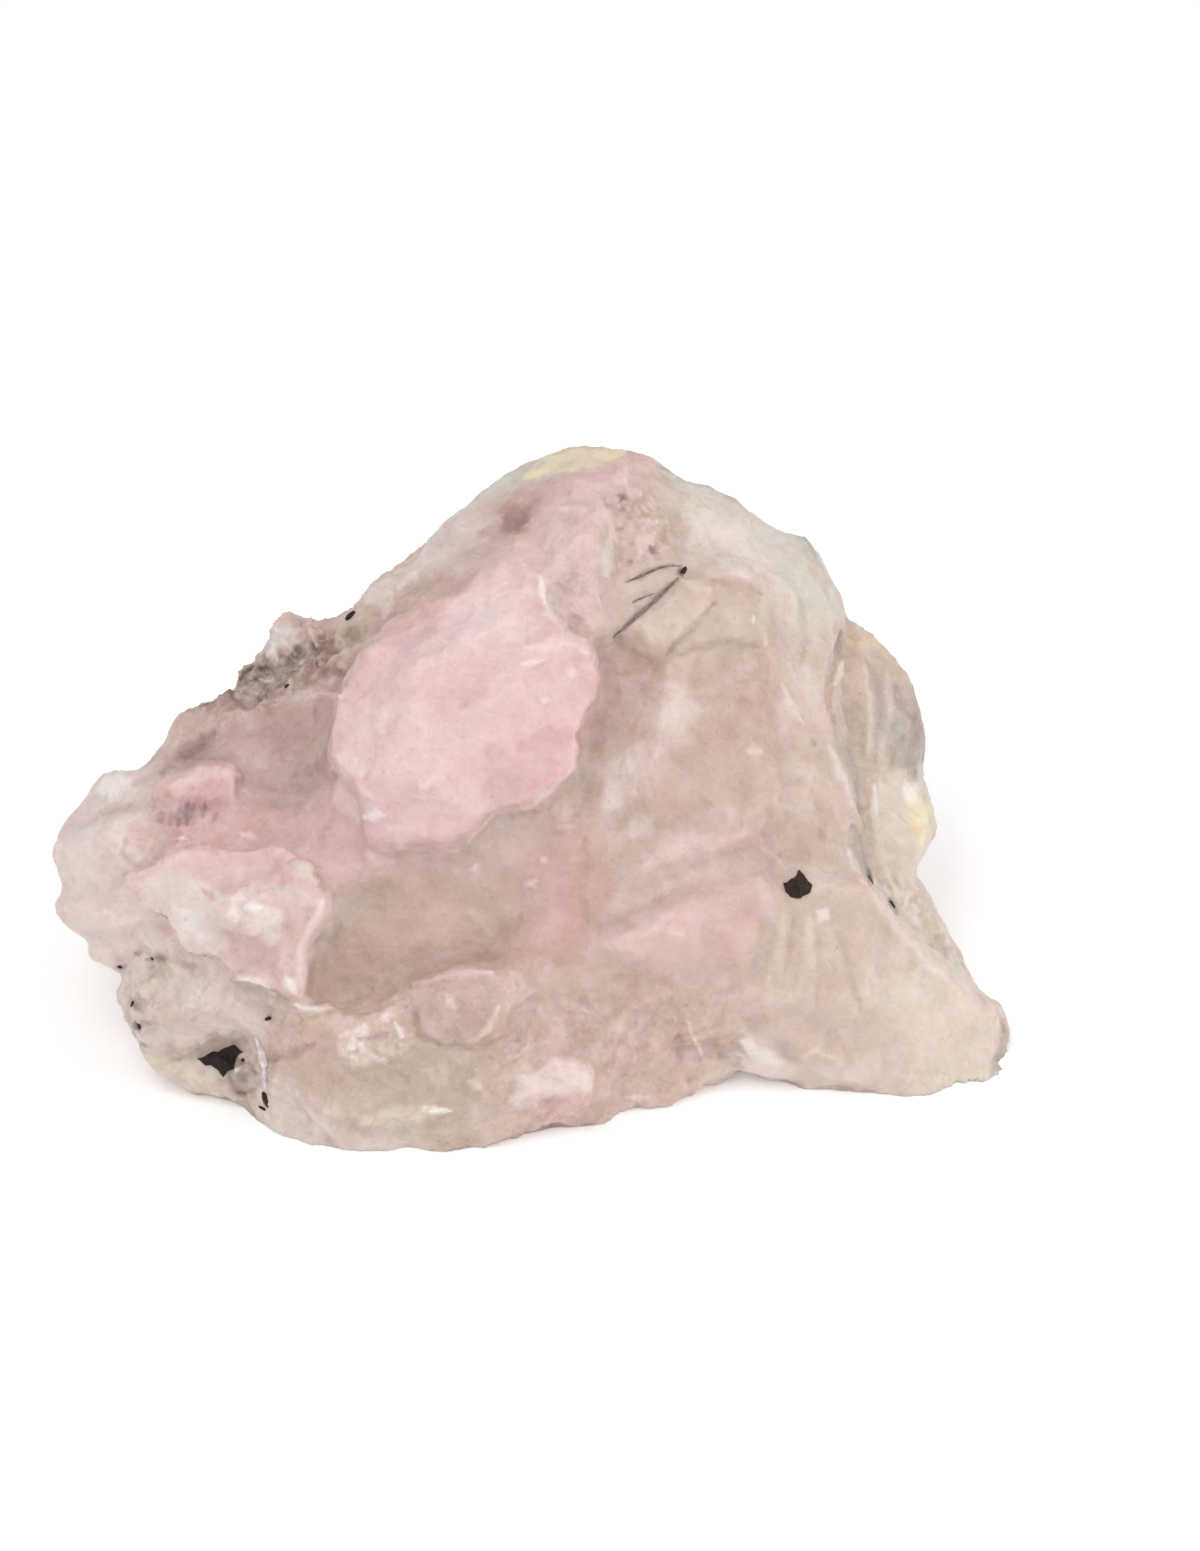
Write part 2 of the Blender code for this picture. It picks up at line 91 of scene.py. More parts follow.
ALBEDO = 0.84                       # share of a colour as seen that is the stone's own
PALETTE = {
    "base": (206, 185, 172),
    "rose": (229, 195, 195),
    "rose_light": (240, 216, 213),
    "rose_deep": (222, 178, 179),
    "lilac": (219, 191, 188),
    "salmon": (208, 165, 158),
    "magenta": (221, 171, 173),
    "mauve": (207, 178, 174),
    "plum": (158, 120, 114),
    "wine": (140, 104, 112),
    "shell": (219, 197, 190),
    "recess": (193, 161, 155),
    "brown": (194, 164, 152),
    "umber": (176, 146, 132),
    "clay": (205, 179, 166),
    "beige": (215, 197, 182),
    "stone": (205, 188, 175),
    "green_beige": (200, 182, 164),
    "cream": (227, 215, 199),
    "milk": (234, 219, 212),
    "white": (250, 244, 240),
    "mint": (217, 211, 198),
    "ash": (219, 205, 196),
    "olive": (160, 144, 118),
    "grey": (178, 166, 156),
    "blue_white": (222, 219, 213),
    "yellow": (240, 228, 190),
    "orange": (232, 202, 156),
    "tan": (203, 180, 158),
    "dark": (98, 80, 68),
    "slate": (140, 122, 115),
}

# ---- outlines of larger forms, used again below ----

MAIN_PLATE = [
    (0.7, 18.6), (1.4, 15.9), (2.6, 14.2), (5.3, 12.3), (5.9, 10.2), (5.5, 8.3),
    (4.0, 5.4), (3.6, 2.4), (0.1, -0.5), (-3.0, -0.9), (-5.2, -3.5), (-7.2, -4.5),
    (-8.6, -3.9), (-12.4, -4.2), (-13.9, -3.7), (-14.1, 0.0), (-16.1, 2.4), (-17.1, 3.0),
    (-16.9, 4.8), (-16.1, 8.4), (-14.8, 11.2), (-13.0, 13.2), (-12.0, 14.8), (-5.6, 17.9),
    (-2.2, 20.4),
]
LEFT_CLUSTER = [
    (-30.8, -5.2), (-30.2, -4.2), (-27.6, -3.9), (-20.4, -3.8), (-18.6, -5.2),
    (-17.8, -7.0), (-16.6, -8.0), (-17.2, -9.9), (-18.6, -12.2), (-19.0, -16.6),
    (-22.4, -15.2), (-24.8, -15.0), (-26.4, -13.4), (-28.6, -13.0), (-30.0, -10.6),
    (-32.6, -8.2), (-33.8, -6.2),
]
LOWER_RIM = [
    (-18.4, -17.4), (-14.0, -17.6), (-11.6, -16.6), (-10.0, -15.0), (-5.0, -13.6),
    (-2.6, -13.8), (-0.6, -16.0), (-2.2, -19.4), (-2.6, -21.4), (1.0, -21.6),
    (4.6, -21.4), (5.6, -22.8), (5.0, -24.6), (3.0, -26.0), (-3.0, -27.4),
    (-8.0, -28.8), (-15.6, -28.8), (-18.8, -25.4), (-19.4, -21.6),
]
PINK_LEDGE = [
    (5.4, -11.8), (8.0, -10.4), (10.0, -9.4), (11.4, -8.1), (15.0, -7.0), (19.4, -6.2),
    (20.6, -7.6), (18.8, -10.6), (17.8, -13.6), (11.4, -13.6), (7.8, -12.9),
]
RIGHT_LUMP = [
    (26.2, 16.0), (25.4, 12.0), (25.6, 8.0), (26.8, 2.4), (27.4, -3.0), (28.2, -7.2),
    (30.4, -9.8), (33.4, -12.8), (37.0, -15.4), (44.0, -16.0), (44.0, 16.0),
]
SHARP_STEPS = (MAIN_PLATE, LEFT_CLUSTER)
# steps worn to gentle slopes: reach in mm, the points they run through
WORN_STEPS = [
    (2.6, [(-16.0, 1.6), (-14.8, 0.2), (-14.2, -2.0), (-13.8, -4.2), (-12, -5.0)]),
    (1.4, [(-12, -4.8), (-8.6, -4.4), (-5.8, -4.6), (-3.6, -2.0), (0, -1.2), (2.6, 0.8)]),
    (1.5, [(-6.2, 18.4), (-2.4, 20.2), (0.2, 19.0)]),
    (2.6, [(-18.0, -14.0), (-16.6, -10.4), (-15.4, -8.2), (-12.6, -7.0), (-9, -6.6)]),
    (1.3, [(-17.6, -8.4), (-18.6, -12.4), (-18.8, -16.2)]),
    (1.7, [(-18, -16.4), (-13, -16.6), (-10, -14.8), (-6, -13.6), (-2.5, -13.6), (-1, -15)]),
    (1.6, [(3.6, -10.6), (7, -10.2), (9.8, -9.2), (11.4, -7.6), (14.6, -6)]),
    (1.5, [(9, -13.4), (13.4, -14.2), (17.8, -13.8)]),
    (2.0, [(-30, -20.8), (-26, -19.4), (-22.6, -18.6)]),
    (1.8, [(-25, 2.5), (-23, 0.8), (-20, 0.2), (-17.4, 2.2)]),
]
WORN_ROUNDS = 110                   # rounds of smoothing along the worn steps
HOLLOW = [(-19, -8), (-12, -5.5), (-6, -5), (0, -1), (4, -4), (4.5, -12), (-3, -14), (-10, -15),
          (-17, -17.5), (-19.5, -16)]
RECESS = [(-28.5, 5.5), (-22, 8), (-16, 9.5), (-15.5, 5), (-16, 1), (-14, -1.5), (-17, -2),
          (-24, -1.5), (-29, 2.5)]
PALE_BLOCK = [(8.8, 14.2), (12.5, 18), (14.9, 17.4), (15, 16), (12.4, 13.6), (9.8, 12.6)]
# pale face of the left cluster: cream-white stone with a painted highlight over it
CLUSTER_CREAM_AND_HIGHLIGHT = [(-25.5, -8), (-22, -7.4), (-20.5, -9.2), (-21, -11.5), (-23.5, -10.8)]
RIM_FACETS = [(-16.2, -20.4), (-15, -18), (-11.4, -17.2), (-10.2, -19.4), (-12, -21.4), (-15, -22)]
GREY_CORNER = [(-26.5, 8.5), (-22, 13), (-20.7, 15.5), (-18, 15), (-14.5, 13), (-16.5, 9.6),
               (-22, 7.5)]

# ---- small raised and sunk places: height in mm, softness in mm, outline ----

RAISED = [
    (0.7, 0.5, [(-31, 0.3), (-30.6, 1.8), (-28.4, 2.9), (-26.8, 3.3), (-25.2, 3), (-24.4, 1.8),
        (-24.9, 0), (-27.5, -0.4)]),
    (0.35, 0.6, [(-36.9, 0.6), (-36, 2.4), (-33.2, 2.4), (-32.7, 1.2), (-33.6, 0.2)]),
    (0.35, 0.5, [(-33.8, -4.2), (-33, -3.1), (-31.6, -3.4), (-31.6, -4.8), (-32.8, -5.3)]),
    (0.35, 0.4, [(-20.6, -5.2), (-18.2, -5.4), (-17.8, -6.8), (-20.2, -7.2)]),
    (0.4, 0.5, [(-25.4, -7.6), (-21, -7.4), (-20.6, -9.8), (-22.6, -11.2), (-25.6, -10.4)]),
    (-0.35, 0.5, [(-25.4, -11), (-22.4, -11.8), (-20.9, -12.6), (-20.9, -14.8), (-24.6, -14.8)]),
    (0.35, 0.4, [(-25.1, -22.4), (-24.4, -21.8), (-23.2, -22.2), (-22.9, -23.4), (-23.9, -24.4),
        (-25, -23.8)]),
    (0.4, 0.4, [(-16.2, -20.4), (-15, -18), (-11.4, -17.2), (-10.2, -19.4), (-12, -21.6), (-15, -22.2)]),
    (0.4, 0.4, [(-22.6, 11.6), (-20.9, 14.8), (-19.7, 14.6), (-20.9, 11.8)]),
    (0.3, 0.4, PALE_BLOCK),
    (0.4, 0.5, [(-1.6, -24.8), (-0.6, -23), (1.5, -21.5), (4, -21.1), (5.2, -22.2), (4.6, -24)]),
    (0.9, 2.4, [(-16.4, -9.4), (-12, -8.4), (-6, -9), (-3.6, -12), (-8, -13.4), (-13, -14.4), (-17, -15)]),
]

# ---- roughness of the break: strength, softness in mm, outline ----

BREAK_ZONES = [
    (0.3, 2.0, [(-42, -12), (-41, 4), (-31, 4), (-31, -4), (-32, -12)]),
    (0.33, 1.0, LEFT_CLUSTER),
    (0.55, 1.5, [(-37, -12), (-28, -13), (-19, -16), (-19, -30), (-37, -27)]),
    (0.45, 1.5, LOWER_RIM),
    (0.6, 0.8, RIM_FACETS),
    (0.3, 2.0, [(-12, 18), (-4, 30), (10, 32), (20, 27), (12, 20)]),
    (0.25, 1.5, [(10, 28), (18, 26), (25, 22), (28, 15), (27, -6), (21, -6), (20, 18), (13, 23)]),
    (0.25, 1.2, MAIN_PLATE),
    (0.12, 1.5, HOLLOW),
    (0.25, 1.2, RECESS),
    (0.3, 1.0, [(-26, -0.5), (-17, 2), (-14, 0), (-11, -4), (-16, -7), (-21, -4), (-29, -3)]),
    (1.2, 0.8, GREY_CORNER),
    (0.25, 2.0, [(6, 20), (13, 21), (20, 19), (22, 12), (22, -4), (6, -7), (4, 0)]),
    (0.18, 1.5, [(3, -5), (20, -4), (21, -9), (20, -14), (11, -16), (0, -16), (2, -10)]),
    (0.35, 1.5, RIGHT_LUMP),
    (0.25, 2.0, [(20, -8), (27, -5), (38, -16), (40, -24), (20, -24), (17, -18)]),
]

# ---- speckle: colour, cover, size in mm, level, outline ----

SPECKLED_FACE = [(6, 25), (8.4, 26.4), (10.6, 24.4), (12, 20.8), (10, 19.6), (7.4, 18.6), (6.6, 20.6)]
SPECKLES = [
    ("dark", 0.8, 1.1, 0.0, [(-26.4, 8.2), (-22.6, 11.4), (-20.4, 10.6), (-18.6, 13.8), (-17.6, 12.6),
        (-19.4, 9.8), (-23, 8.2)]),
    ("plum", 0.6, 1.5, 0.1, [(-19, 11), (-18.6, 13.6), (-15.8, 13.4), (-16, 11)]),
    ("cream", 0.45, 0.8, -0.18, GREY_CORNER),
    ("umber", 0.5, 0.9, -0.05, SPECKLED_FACE),
    ("rose_light", 0.5, 0.8, -0.12, SPECKLED_FACE),
    # white speckles on the rim facets: painted glints
    ("white", 0.6, 0.9, -0.08, RIM_FACETS),
    ("tan", 0.45, 1.2, -0.04, RIM_FACETS),
    # white speckles on the cluster's pale face: painted glints
    ("white", 0.3, 1.0, -0.14, CLUSTER_CREAM_AND_HIGHLIGHT),
    ("umber", 0.25, 1.3, -0.16, [(-36, -12), (-29, -12.6), (-28, -14.4), (-31, -17), (-31.6, -21),
        (-34, -21)]),
    ("slate", 0.4, 0.9, -0.2, [(-34.4, -14), (-31.8, -14), (-31, -17), (-31.4, -21), (-34, -20)]),
    ("slate", 0.35, 1.0, -0.08, [(28.4, 10.4), (31.4, 9.4), (33.6, 5), (32.2, 1.6), (29.4, 3)]),
    ("slate", 0.35, 0.9, -0.08, [(29, -6.8), (31.6, -6.6), (37, -14), (35, -14), (31, -10.4)]),
    ("umber", 0.35, 1.4, -0.1, [(-22.4, -17), (-18.5, -17.6), (-16, -18.4), (-18, -20.6), (-21.4, -21.6)]),
]

# ---- patches of colour: colour, cover, softness of the edge in mm, outline ----

PATCHES = [
    # top: slope on the upper left, pink crown, column and speckled face
    ("beige", 0.95, 1.0, [(-17, 14.5), (-13, 19), (-8, 23), (-7.5, 20.5), (-11, 16.5), (-14, 13)]),
    ("milk", 0.7, 1.2, [(-12.6, 17.8), (-8, 23.4), (-4, 26), (-3.2, 23), (-6.4, 18.6), (-9.8, 17.4)]),
    ("umber", 0.3, 1.2, [(-16.6, 13.4), (-14.6, 16.4), (-9.6, 17.2), (-8.6, 15.4), (-12.8, 12.6)]),
    ("salmon", 0.3, 1.2, [(-12, 14.5), (-9, 18.5), (-5, 22.5), (-2.5, 25), (0.5, 25), (-1, 22),
        (-5, 19.5), (-9, 16)]),
    ("rose_deep", 0.5, 1.6, [(-2, 22), (0, 26.5), (9, 28.5), (11, 26), (6, 22), (1, 20)]),
    ("rose_light", 0.6, 1.6, [(2, 22), (3, 27), (8, 28), (9, 25), (6, 22)]),
    ("lilac", 0.75, 0.9, [(0.5, 19), (-0.5, 22.5), (3, 25), (6, 25), (6.1, 18), (6.4, 14), (4.5, 12.8),
        (2.5, 14.5), (1.4, 17)]),
    ("green_beige", 0.4, 0.9, [(6.2, 25.5), (8, 27), (11, 25), (13.4, 21.5), (12.8, 18.8), (7, 13.6),
        (6, 17)]),
    # broken grey corner, lump below it and recess
    ("slate", 0.8, 0.8, [(-27, 7.8), (-22.4, 12.2), (-19.4, 12.8), (-19, 9.4), (-23, 7.8)]),
    ("umber", 0.9, 0.8, [(-21.6, 8.8), (-18.6, 13.8), (-15.6, 13.6), (-14.4, 10.6), (-15.6, 8.8)]),
    ("plum", 0.95, 0.9, [(-28, 7.8), (-24.8, 10.2), (-20, 9.4), (-16.4, 10.4), (-20, 8), (-24, 7.2)]),
    ("recess", 0.85, 1.1, RECESS),
    ("lilac", 0.5, 1.0, [(-26.5, 0.5), (-25, 3.4), (-21, 4.4), (-18, 1.6), (-20, -0.4), (-25, -0.4)]),
    ("mauve", 0.2, 0.8, [(-23, 7.4), (-21, 9), (-15.8, 10.4), (-15.6, 7.4), (-20, 7.6)]),
    # left end
    ("milk", 0.85, 1.2, [(-42, -7), (-39, -1), (-36.5, 3), (-32.3, 2.4), (-31.4, -1), (-32.2, -5.5),
        (-35, -7)]),
    ("milk", 0.7, 1.2, [(-42, -9), (-38, -6.8), (-33.5, -6.3), (-29, -11.5), (-30, -13.3), (-35, -15),
        (-40, -11.8)]),
    ("rose_deep", 0.75, 0.7, [(-31, 0), (-30.8, 1.8), (-28, 3.2), (-25.2, 3.5), (-24, 2.2), (-24.2, -0.6),
        (-30.5, -0.8)]),
    ("magenta", 0.7, 1.2, [(-31, -1), (-24, -0.8), (-18, -1.2), (-15.5, 0), (-11, -4.8), (-13, -6),
        (-17.4, -7), (-20, -4.2), (-28, -3.8), (-31, -3.5)]),
    # left cluster
    ("rose", 0.85, 0.6, LEFT_CLUSTER),
    ("milk", 0.95, 1.0, [(-33.5, -6.3), (-29, -5.8), (-24.5, -9.5), (-25.5, -12.5), (-28, -13.2),
        (-30, -10.5)]),
    # the cluster's pale face: cream-white stone, partly a painted highlight
    ("milk", 0.8, 0.9, CLUSTER_CREAM_AND_HIGHLIGHT),
    ("mauve", 0.5, 0.8, [(-25.6, -10.8), (-23, -11.3), (-20.8, -12.4), (-20.6, -14.6), (-24.5, -14.6),
        (-25.6, -13)]),
    ("rose_light", 0.4, 0.6, [(-20.6, -13), (-19.2, -9.5), (-16.6, -8), (-17, -9.6), (-18.6, -12),
        (-19, -16.6), (-21, -15.6)]),
    # lower left corner
    ("ash", 0.85, 1.2, [(-35, -14.2), (-27, -13.6), (-22, -16), (-22.5, -19.5), (-28, -20.8),
        (-34.5, -20.5)]),
    ("cream", 0.85, 1.0, [(-34, -20.5), (-28, -21.8), (-25.5, -24), (-22, -26.5), (-19, -28.5),
        (-24, -29), (-32, -25)]),
    ("grey", 0.85, 0.5, [(-25.2, -22), (-23.4, -21.6), (-22.8, -23.4), (-23.8, -24.6), (-25.4, -23.8)]),
    # hollow
    ("brown", 0.9, 1.6, HOLLOW),
    ("clay", 0.9, 1.2, [(-12, -6), (-7, -4.8), (-2, -2), (0, -7), (-2.4, -12), (-8, -12)]),
    ("shell", 0.7, 1.0, [(-8.6, -4.6), (-5.4, -4.6), (-3, -1.4), (1.4, -0.6), (1, -3.6), (-4, -6.8)]),
    ("shell", 0.9, 0.9, [(-18.4, -6.8), (-16, -7.2), (-13.8, -7), (-15.4, -9.4), (-17.4, -12),
        (-18, -9.6)]),
    ("salmon", 0.85, 1.2, [(3, -2), (6, -1), (7, -8), (4, -13.4), (-2, -14), (2, -9)]),
    ("stone", 0.7, 1.4, [(-18.6, -9), (-16.6, -8.4), (-13, -6.6), (-11, -7.6), (-15, -10), (-18, -13.6)]),
    ("rose_deep", 0.35, 1.5, [(-2, -4), (3, -2), (4, -8), (3, -12), (0, -11)]),
    # lower rim
    ("clay", 0.65, 1.6, [(-4, -16), (0, -13.4), (4, -12.4), (10, -14.2), (18, -15), (19.5, -19),
        (15, -25), (5, -27), (-4, -29), (-7, -24)]),
    ("green_beige", 0.75, 1.3, [(-20, -20), (-14, -21.5), (-4.5, -20.5), (-4, -27), (-12, -30),
        (-20, -30), (-21.5, -25)]),
    ("mauve", 0.6, 0.8, [(-10.2, -15), (-7, -14), (-3, -13.8), (-1.6, -16), (-4, -19.6), (-8, -19.4)]),
    ("cream", 0.4, 0.7, RIM_FACETS),
    ("rose_deep", 0.4, 0.8, [(1, -25), (5, -24), (5.6, -26), (1, -27)]),
    ("milk", 0.9, 0.5, [(-1.6, -25.4), (-0.6, -23), (1.5, -21.5), (4, -21.1), (5.2, -22.2), (4.8, -23.6),
        (2.5, -24.6)]),
    ("rose", 0.4, 0.5, [(6.2, -19.4), (8.6, -19.4), (8.4, -22.6), (6.4, -22.8)]),
    # main plate and the pink bank above it
    ("rose", 1.0, 0.4, MAIN_PLATE),
    ("rose", 0.55, 1.0, [(-19, -2), (-17.2, 3.4), (-15.6, 1.6), (-14, -1), (-11, -5.4), (-14, -6.4),
        (-18.4, -7)]),
    ("rose_deep", 0.5, 1.4, [(0, 3), (0, 11), (4, 12), (5.4, 9), (3.6, 3)]),
    ("rose", 0.8, 1.2, [(-7, 17), (-4.6, 20.2), (-1, 22.6), (2, 20.6), (0.6, 17)]),
    ("rose_light", 0.9, 1.6, [(-7.6, 12), (-6, 16), (-2.4, 18.6), (0, 17), (-1.6, 13)]),
    ("rose_light", 0.25, 1.5, [(-4, 8), (-4, 13), (0, 15), (4, 12.5), (5, 9), (2, 6.5)]),
    ("rose_light", 0.5, 1.5, [(-16, 4), (-15, 8), (-9, 9), (-6, 5), (-9, 1), (-14, 1.5)]),
    ("rose_deep", 0.55, 1.6, [(-3.5, 0.6), (-4, 4), (3, 6), (3, 2), (0, 0)]),
    ("rose_deep", 0.2, 1.2, [(-10, 9), (-3, 13), (-2, 11), (-6, 7)]),
    # slot and blocks beside the plate
    # brown stone in the slot, darkened further by painted shade of the recess
    ("brown", 0.7, 1.2, [(6, 13), (10, 12), (9, 9), (6.6, 5), (4.2, 2.6), (4.2, 5.2), (5.9, 9)]),
    ("green_beige", 0.9, 1.0, [(10, 12.6), (14, 18), (18.4, 18.2), (20.4, 16), (20.5, 12), (16, 11.5)]),
    ("beige", 0.85, 0.8, PALE_BLOCK),
    # panel
    ("clay", 0.8, 1.5, [(9.5, 10), (14, 11.4), (19.5, 11.4), (21.5, 5), (21, -3), (20, -6), (12, -6),
        (8, -7), (5, -6), (4.6, 0), (8, 7)]),
    ("milk", 0.6, 1.0, [(8.8, 6.5), (9.8, 9.4), (12.6, 9.4), (14, 7.2), (12.3, 4.6), (9.8, 4.2)]),
    ("shell", 1.0, 1.2, [(9.6, 5.6), (12.3, 4.6), (9, 0.6), (6.5, -1), (6.2, 1.5)]),
    ("brown", 0.55, 1.3, [(14.5, 5), (15, 10.5), (19.3, 11), (20.8, 6), (20, 3)]),
    ("shell", 0.8, 1.2, [(7.5, -6), (11, -3), (15, -1.6), (19.5, -2), (20, -4.6), (14, -5), (9.5, -7.5)]),
    # ledge
    ("rose_deep", 0.4, 1.2, PINK_LEDGE),
    # white rim, cream band and right lump
    ("mint", 0.9, 1.2, [(10.5, 28), (14, 27), (18, 25.5), (25, 21), (27, 15), (22, 13.5), (19.6, 18.6),
        (16.6, 19.8), (13, 22.5)]),
    ("milk", 0.85, 1.0, [(12.4, 23.6), (13.6, 20.8), (17, 19.6), (20, 18.6), (21.6, 19.6), (18, 22.6),
        (14.4, 24.2)]),
    ("cream", 0.5, 1.1, [(20.3, 12), (26, 15), (25.6, 8), (24.6, 6), (22, 6.4), (21, 8.6)]),
    ("beige", 0.75, 1.2, [(21.6, 6.6), (24.6, 6.2), (26.8, 2), (27.3, -4), (24, -5), (21, -1.4)]),
    ("umber", 0.4, 1.4, [(16, -1.8), (20, -1), (25.4, -0.6), (25, -5.2), (19, -6.8), (16, -4)]),
    ("umber", 0.2, 1.4, [(19.4, 13.6), (25.6, 14), (27, 0), (26.6, -4), (21, -2)]),
    ("green_beige", 0.75, 0.8, RIGHT_LUMP),
    ("grey", 0.8, 1.2, [(30.2, 9.6), (32.8, 9.4), (34, 4.6), (32.2, 1.8), (29.6, 3.4), (29.2, 6.6)]),
    ("umber", 0.35, 1.2, [(28.4, -3), (31.6, -3.6), (32, -7), (29, -7)]),
    ("slate", 0.3, 1.2, [(30.6, 9), (33, 8), (33.6, 3), (31, 3)]),
    ("cream", 0.75, 1.2, [(28.5, 2), (33, 2), (35, -2.4), (33, -7), (29.6, -7), (28.6, -3)]),
    ("cream", 0.9, 1.0, [(28.8, -7), (32, -6.8), (37, -14), (40, -16.4), (36.5, -17), (31, -11)]),
    # pale lower edges
    ("milk", 0.6, 1.2, [(-21.4, -22.8), (-18, -25.6), (-12, -27.6), (-8, -30), (-20, -31), (-23, -26)]),
    ("milk", 0.95, 1.2, [(16.4, -24), (17, -22), (17.6, -19.8), (24, -22), (34, -23.4), (36, -27),
        (14, -27)]),
    # spur
    ("beige", 0.55, 1.8, [(21, -8), (26.5, -5), (33, -12), (40, -17), (41, -22), (35, -26), (22, -25),
        (19, -20), (18.5, -12)]),
    ("cream", 0.65, 2.0, [(29.5, -15), (34, -14.5), (40, -17.5), (41, -22.5), (36.5, -25), (31, -23.5)]),
]

# ---- marks: colour, cover, height in mm, width in mm, the points it runs through ----

